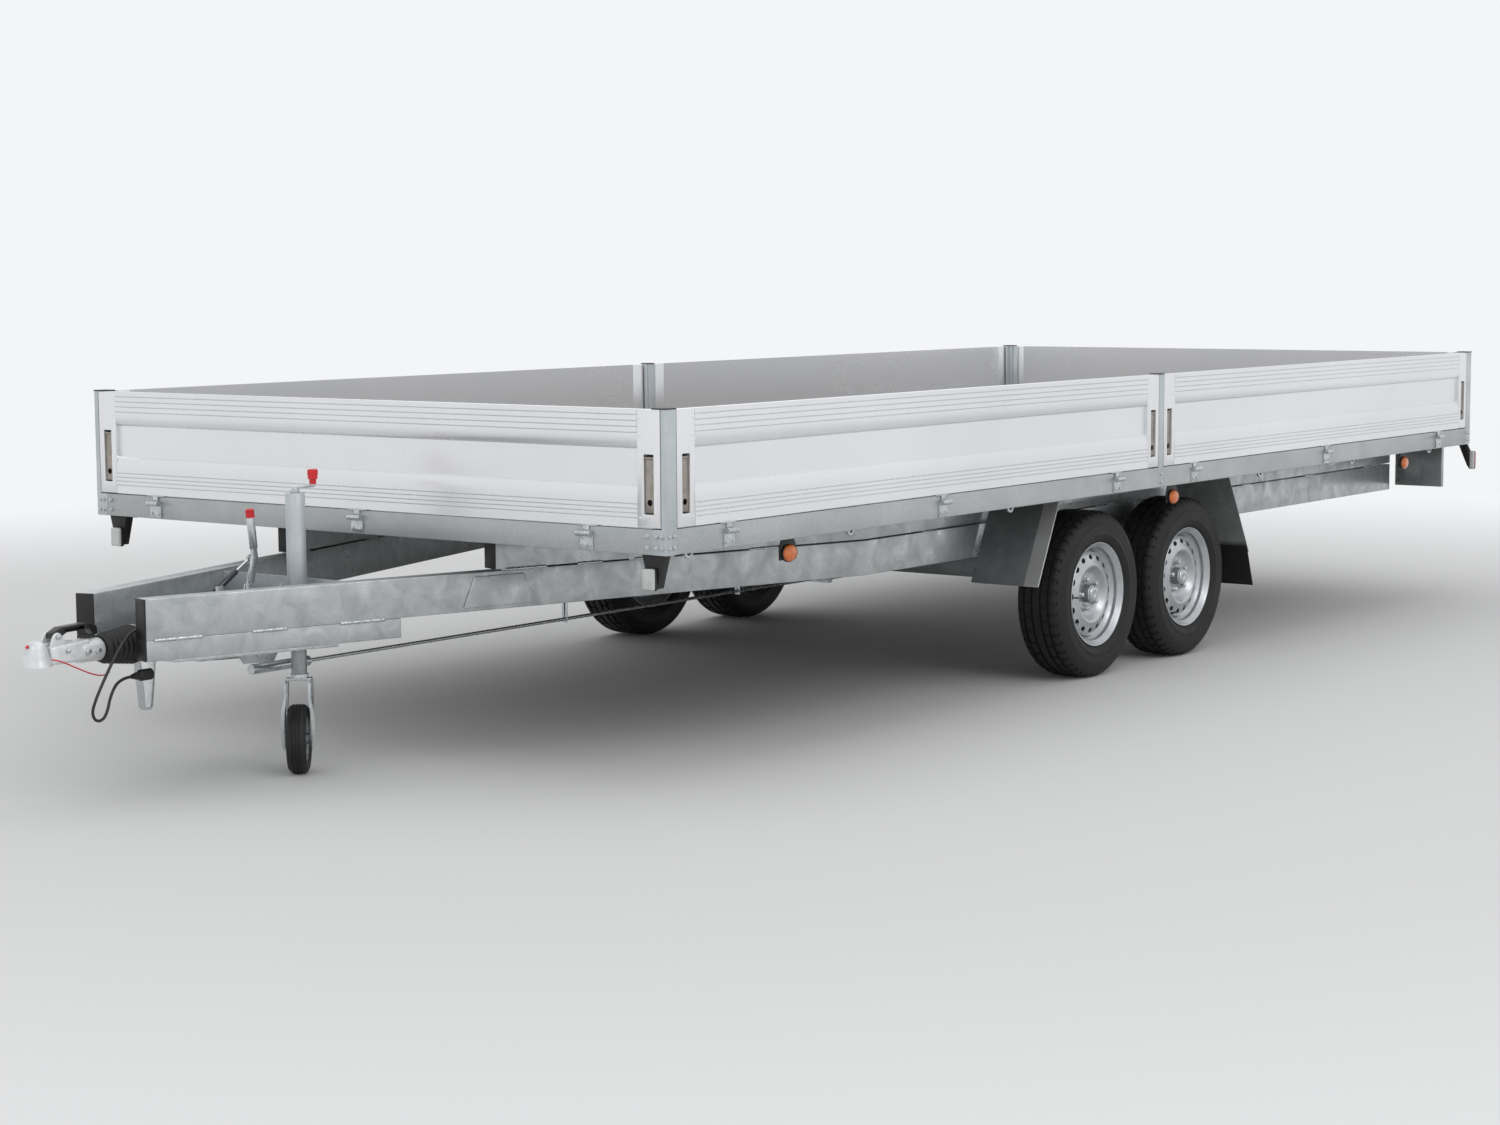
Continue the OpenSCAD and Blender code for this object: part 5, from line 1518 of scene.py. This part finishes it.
@dataclass
class Jockey:
    """Jockey wheel with clamp, tubes, fork, roller and crank."""

    radius: float = 0.106
    half: float = 0.030
    caster_turn: float = 40.0
    cheek_out: float = 0.0400
    edge_ahead: float = 0.026

    def build(self, frame: Frame) -> None:
        """Builds the jockey wheel's pieces.

        Args:
            frame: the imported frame.
        """
        frame.soften("jockey_clamp", POST_ZINC, 0.002, 2)
        frame.soften("jockey_outer_tube", POST_ZINC, 0.001, 2)
        frame.soften("jockey_inner_tube", GUARD_ZINC, 0.0, 1)
        frame.soften("jockey_fork", PLATE_ZINC, 0.0012, 2)
        frame.soften("jockey_crank", PLATE_ZINC, 0.001, 2)
        self.knob(frame)
        self.roller(frame)
        self.cheeks(frame)

    def knob(self, frame: Frame) -> None:
        """Adds the red knob around the crank's grip.

        Args:
            frame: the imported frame.
        """
        low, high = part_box("jockey_crank")
        centre = Vector((low.x + 0.015, low.y + 0.015, high.z - 0.028))
        shell = lathe("crank_knob", [
            (0.0, 0.0288), (0.0135, 0.0288), (0.0162, 0.0265), (0.0166, 0.0150), (0.0158, 0.0120),
            (0.0112, 0.0100), (0.0106, -0.0150), (0.0090, -0.0168), (0.0074, -0.0168),
            (0.0074, -0.0008), (0.0152, -0.0008), (0.0152, 0.0282), (0.0, 0.0284),
        ], 36, False)
        move(shell, Matrix.Translation(centre))
        frame.set_in(dress(smooth(shell, 35), RED_PLASTIC), "jockey_crank", False)

    def cheeks(self, frame: Frame) -> None:
        """Adds the fork's pressed side plates, which widen around the axle.

        Args:
            frame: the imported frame.
        """
        low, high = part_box("jockey_wheel")
        centre = (low + high) / 2
        turn = Matrix.Rotation(math.radians(self.caster_turn), 4, "Z")
        outline = [(-0.072, 0.150), (-0.064, 0.176), (-0.034, 0.176), (-0.022, 0.140), (0.030, 0.088),
                   (0.034, 0.030), (0.026, -0.012), (0.010, -0.030), (-0.012, -0.028),
                   (-0.030, -0.004), (-0.044, 0.050), (-0.070, 0.096)]
        # Each cheek's front edge is folded outward, and widens beside the roller.
        edge = [(0.0330, 0.176), (0.0330, 0.125), (0.0375, 0.085), (0.0375, -0.018),
                (0.0420, -0.034), (0.0500, -0.018), (0.0530, 0.040), (0.0500, 0.088),
                (0.0400, 0.130), (0.0400, 0.176)]
        plates = []
        for side in (1, -1):
            plate = prism("cheek", outline, 0.0025)
            round_edges(plate, 0.0008, 2)
            stand = Matrix.Translation((0, side * self.cheek_out + 0.00125, 0)) @ AXIS_Y_UP
            move(plate, Matrix.Translation(centre) @ turn @ stand)
            fold = prism("cheek_edge", edge if side > 0 else [(-y, z) for y, z in reversed(edge)],
                         0.0030)
            round_edges(fold, 0.0010, 2)
            lay = Matrix.Translation((self.edge_ahead, 0, 0)) @ AXIS_X_UP
            move(fold, Matrix.Translation(centre) @ turn @ lay)
            plates += [plate, fold]
        whole = smooth(join("fork_cheeks", plates), 30)
        frame.set_in(dress(whole, PLATE_ZINC), "jockey_fork", False)

    def roller(self, frame: Frame) -> None:
        """Spins the rubber tyre and its pressed hub.

        Args:
            frame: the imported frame.
        """
        low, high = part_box("jockey_wheel")
        centre = (low + high) / 2
        turn = Matrix.Rotation(math.radians(self.caster_turn), 4, "Z")
        r, h = self.radius, self.half
        tyre = [(0.0702, -h + 0.006), (0.080, -h + 0.001), (r - 0.012, -h), (r - 0.004, -h + 0.006),
                (r - 0.0006, -h + 0.014)]
        for z in (-0.010, 0.0, 0.010):
            tyre += [(r, z - 0.0028), (r - 0.0022, z - 0.0014), (r - 0.0022, z + 0.0014),
                     (r, z + 0.0028)]
        tyre += [(r - 0.0006, h - 0.014), (r - 0.004, h - 0.006), (r - 0.012, h), (0.080, h - 0.001),
                 (0.0702, h - 0.006)]
        rubber = dress(smooth(lathe("roller_tyre", tyre, 72), 40), RUBBER)
        hub = lathe("roller_hub", [
            (0.0065, -h - 0.003), (0.017, -h - 0.003), (0.018, -0.006), (0.030, -0.003), (0.050, -0.004),
            (0.057, -0.010), (0.060, -h + 0.008), (0.0698, -h + 0.0065), (0.0698, h - 0.0065),
            (0.060, h - 0.008), (0.057, 0.010), (0.050, 0.004), (0.030, 0.003), (0.018, 0.006),
            (0.017, h + 0.003), (0.0065, h + 0.003),
        ], 64)
        dress(smooth(hub, 30), GUARD_ZINC)
        whole = join("jockey_roller", [rubber, hub])
        move(whole, Matrix.Translation(centre) @ turn @ AXIS_Y)
        frame.set_in(whole, "jockey_wheel")


# ---- Cables ------------------------------------------------------------------------------------


@dataclass
class Cables:
    """The lead to the towing vehicle and the red breakaway cable."""

    power: tuple[tuple[float, float, float], ...] = (
        (0.936, 0.078, 0.506), (0.960, 0.080, 0.506), (0.985, 0.084, 0.503), (1.010, 0.088, 0.495),
        (1.035, 0.092, 0.480), (1.060, 0.096, 0.458), (1.085, 0.098, 0.428), (1.110, 0.100, 0.394),
        (1.135, 0.102, 0.358), (1.156, 0.102, 0.322), (1.166, 0.100, 0.292), (1.160, 0.098, 0.270),
        (1.140, 0.094, 0.260), (1.116, 0.088, 0.266), (1.096, 0.080, 0.286), (1.078, 0.070, 0.312),
        (1.056, 0.060, 0.336), (1.030, 0.050, 0.352), (1.000, 0.044, 0.360), (0.972, 0.042, 0.362),
    )
    breakaway: tuple[tuple[float, float, float], ...] = (
        (1.262, 0.047, 0.446), (1.240, 0.052, 0.440), (1.212, 0.054, 0.428), (1.182, 0.054, 0.414),
        (1.150, 0.052, 0.400), (1.118, 0.046, 0.388), (1.088, 0.036, 0.380), (1.060, 0.024, 0.376),
        (1.036, 0.012, 0.376), (1.018, 0.000, 0.378),
    )
    samples: int = 8

    def route(self, frame: Frame, points: Sequence[Sequence[float]]) -> list[Vector]:
        """Runs a smooth line through a cord's points, in the row frame.

        Args:
            frame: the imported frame.
            points: the cord's points, counted from the bed's front.

        Returns:
            The close points of the line.
        """
        base = [Vector((frame.bed_front + x, y, z)) for x, y, z in points]
        line = []
        last = len(base) - 1
        for i in range(last):
            a, b, c, d = base[max(i - 1, 0)], base[i], base[i + 1], base[min(i + 2, last)]
            for k in range(self.samples):
                t = k / self.samples
                line.append(0.5 * (2 * b + (c - a) * t + (2 * a - 5 * b + 4 * c - d) * t * t
                                   + (3 * b - a - 3 * c + d) * t ** 3))
        line.append(base[-1])
        return line

    def strand(self, name: str, line: Sequence[Vector], radius: float) -> bpy.types.Object:
        """Makes a round curve along a line.

        Args:
            name: the new object's name.
            line: the points that it runs through.
            radius: half its thickness.

        Returns:
            The curve object.
        """
        data = bpy.data.curves.new(name, "CURVE")
        data.dimensions = "3D"
        data.bevel_depth = radius
        data.bevel_resolution = 4
        data.use_fill_caps = True
        spline = data.splines.new("POLY")
        spline.points.add(len(line) - 1)
        for point, place in zip(spline.points, line):
            point.co = (*place, 1.0)
        obj = bpy.data.objects.new(name, data)
        bpy.context.scene.collection.objects.link(obj)
        data.materials.append(PAINT.get(RED_SLEEVE if name.startswith("break") else CABLE_BLACK))
        return obj

    def build(self, frame: Frame) -> None:
        """Builds both cords and the parked plug.

        Args:
            frame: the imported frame.
        """
        for name, node, points, radius, far_end, stiff in (
                ("power_lead", "power_cable", self.power, 0.0045, "plug", "medium"),
                ("breakaway_strand", "breakaway_cable", self.breakaway, 0.002, "object", "medium")):
            line = self.route(frame, points)
            cord = self.strand(name, line, radius)
            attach(cord, frame.body_of[node])
            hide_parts(node)
            pieces = [self.plug(frame)] if far_end == "plug" else []

    def plug(self, frame: Frame) -> bpy.types.Object:
        """Makes the parked plug with its gland nut and finger ribs.

        Args:
            frame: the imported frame.

        Returns:
            The plug.
        """
        low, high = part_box("plug")
        centre = (low + high) / 2
        half = (high.x - low.x) / 2
        outline = [(0.0, -half), (0.0150, -half), (0.0170, -half + 0.002)]
        for i in range(8):
            z = -half + 0.006 + i * 0.0042
            outline += [(0.0170, z), (0.0158, z + 0.001), (0.0158, z + 0.002), (0.0170, z + 0.003)]
        outline += [(0.0165, 0.006), (0.0125, 0.010), (0.0110, 0.012), (0.0110, 0.022),
                    (0.0088, 0.024), (0.0072, half), (0.0, half)]
        obj = lathe("parked_plug", outline, 40, False)
        move(obj, Matrix.Translation(centre) @ AXIS_X)
        frame.set_in(dress(smooth(obj, 35), BLACK_PLASTIC), "plug")
        return obj


# ---- Studio ------------------------------------------------------------------------------------


@dataclass
class Studio:
    """Pale floor, soft light and the camera."""

    camera_at: tuple[float, float, float] = (6.188, 6.172, 1.525)
    yaw: float = 0.6413
    pitch: float = 0.1068
    roll: float = -0.0059
    lens: float = 65.71
    sky: str = "#f4f5f7"
    ground: str = "#c6c6c5"
    fade_from: float = 3.8
    fade_to: float = 9.0

    def camera(self, frame: Frame) -> None:
        """Sets the camera ahead of the trailer's left front corner.

        Args:
            frame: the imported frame.
        """
        forward = Vector((-math.cos(self.yaw) * math.cos(self.pitch),
                          -math.sin(self.yaw) * math.cos(self.pitch), -math.sin(self.pitch)))
        right = forward.cross(Vector((0, 0, 1))).normalized()
        up = right.cross(forward)
        turned = right * math.cos(self.roll) + up * math.sin(self.roll)
        upright = up * math.cos(self.roll) - right * math.sin(self.roll)
        data = bpy.data.cameras.new("camera")
        data.lens = self.lens
        data.sensor_width = 36.0
        data.clip_end = 200.0
        obj = bpy.data.objects.new("camera", data)
        x, y, z = self.camera_at
        turn = Matrix((turned, upright, -forward)).transposed().to_4x4()
        obj.matrix_world = Matrix.Translation((frame.bed_front + x, y, z)) @ turn
        bpy.context.scene.collection.objects.link(obj)
        bpy.context.scene.camera = obj

    def light(self, name: str, place: Sequence[float], aim: Sequence[float], size: float,
              watts: float) -> None:
        """Adds one large soft lamp aimed at a point.

        Args:
            name: the lamp's name.
            place: where the lamp hangs.
            aim: the point that it shines at.
            size: the length of its square side.
            watts: its power.
        """
        data = bpy.data.lights.new(name, "AREA")
        data.shape = "SQUARE"
        data.size = size
        data.energy = watts
        obj = bpy.data.objects.new(name, data)
        obj.location = place
        obj.rotation_euler = (Vector(aim) - Vector(place)).to_track_quat("-Z", "Y").to_euler()
        bpy.context.scene.collection.objects.link(obj)

    def fade(self, tree: bpy.types.NodeTree) -> None:
        """Blends the floor into the sky's white far from the trailer.

        Args:
            tree: the floor material's nodes.
        """
        shader = tree.nodes["Principled BSDF"]
        shader.inputs["Base Color"].default_value = linear(self.ground)
        shader.inputs["Roughness"].default_value = 0.9
        place = tree.nodes.new("ShaderNodeTexCoord")
        reach = tree.nodes.new("ShaderNodeVectorMath")
        reach.operation = "LENGTH"
        tree.links.new(place.outputs["Object"], reach.inputs[0])
        far = tree.nodes.new("ShaderNodeMapRange")
        far.interpolation_type = "SMOOTHSTEP"
        far.inputs["From Min"].default_value = self.fade_from
        far.inputs["From Max"].default_value = self.fade_to
        tree.links.new(reach.outputs["Value"], far.inputs["Value"])
        glow = tree.nodes.new("ShaderNodeEmission")
        glow.inputs["Color"].default_value = linear(self.sky)
        mixed = tree.nodes.new("ShaderNodeMixShader")
        tree.links.new(far.outputs["Result"], mixed.inputs[0])
        tree.links.new(shader.outputs["BSDF"], mixed.inputs[1])
        tree.links.new(glow.outputs["Emission"], mixed.inputs[2])
        tree.links.new(mixed.outputs["Shader"], tree.nodes["Material Output"].inputs["Surface"])

    def build(self, frame: Frame) -> None:
        """Builds the floor, the sky and the lamps.

        Args:
            frame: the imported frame.
        """
        select_only()
        bpy.ops.mesh.primitive_plane_add(size=120.0)
        floor = bpy.context.object
        floor.name = "floor"
        pale = bpy.data.materials.new("pale_floor")
        pale.use_nodes = True
        self.fade(pale.node_tree)
        floor.data.materials.append(pale)
        floor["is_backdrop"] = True
        world = bpy.data.worlds.new("studio")
        world.use_nodes = True
        sky = world.node_tree.nodes["Background"]
        sky.inputs["Color"].default_value = linear(self.sky)
        sky.inputs["Strength"].default_value = 1.0
        bpy.context.scene.world = world
        bpy.context.scene.view_settings.view_transform = "Standard"
        self.light("key", (3.5, 8.5, 7.5), (0.0, 0.5, 0.7), 6.0, 205.0)
        self.light("front", (9.5, 1.5, 6.5), (2.4, 0.0, 0.9), 4.0, 70.0)
        self.light("top", (-0.5, 0.0, 8.0), (-0.5, 0.0, 0.0), 7.0, 90.0)
        self.light("back", (-9.0, -7.0, 6.0), (0.0, 0.0, 0.6), 6.0, 60.0)


# ---- Whole trailer -----------------------------------------------------------------------------


def main() -> None:
    """Builds the trailer around its frame."""
    logging.basicConfig(level=logging.INFO, format="%(name)s: %(message)s")
    frame = Frame()
    Studio().camera(frame)
    Cables().build(frame)
    Walls().build(frame)
    RoadWheel().build(frame)
    Chassis().build(frame)
    Lamps().build(frame)
    Coupling().build(frame)
    Jockey().build(frame)
    Studio().build(frame)
    select_only()


if __name__ == "__main__":
    main()
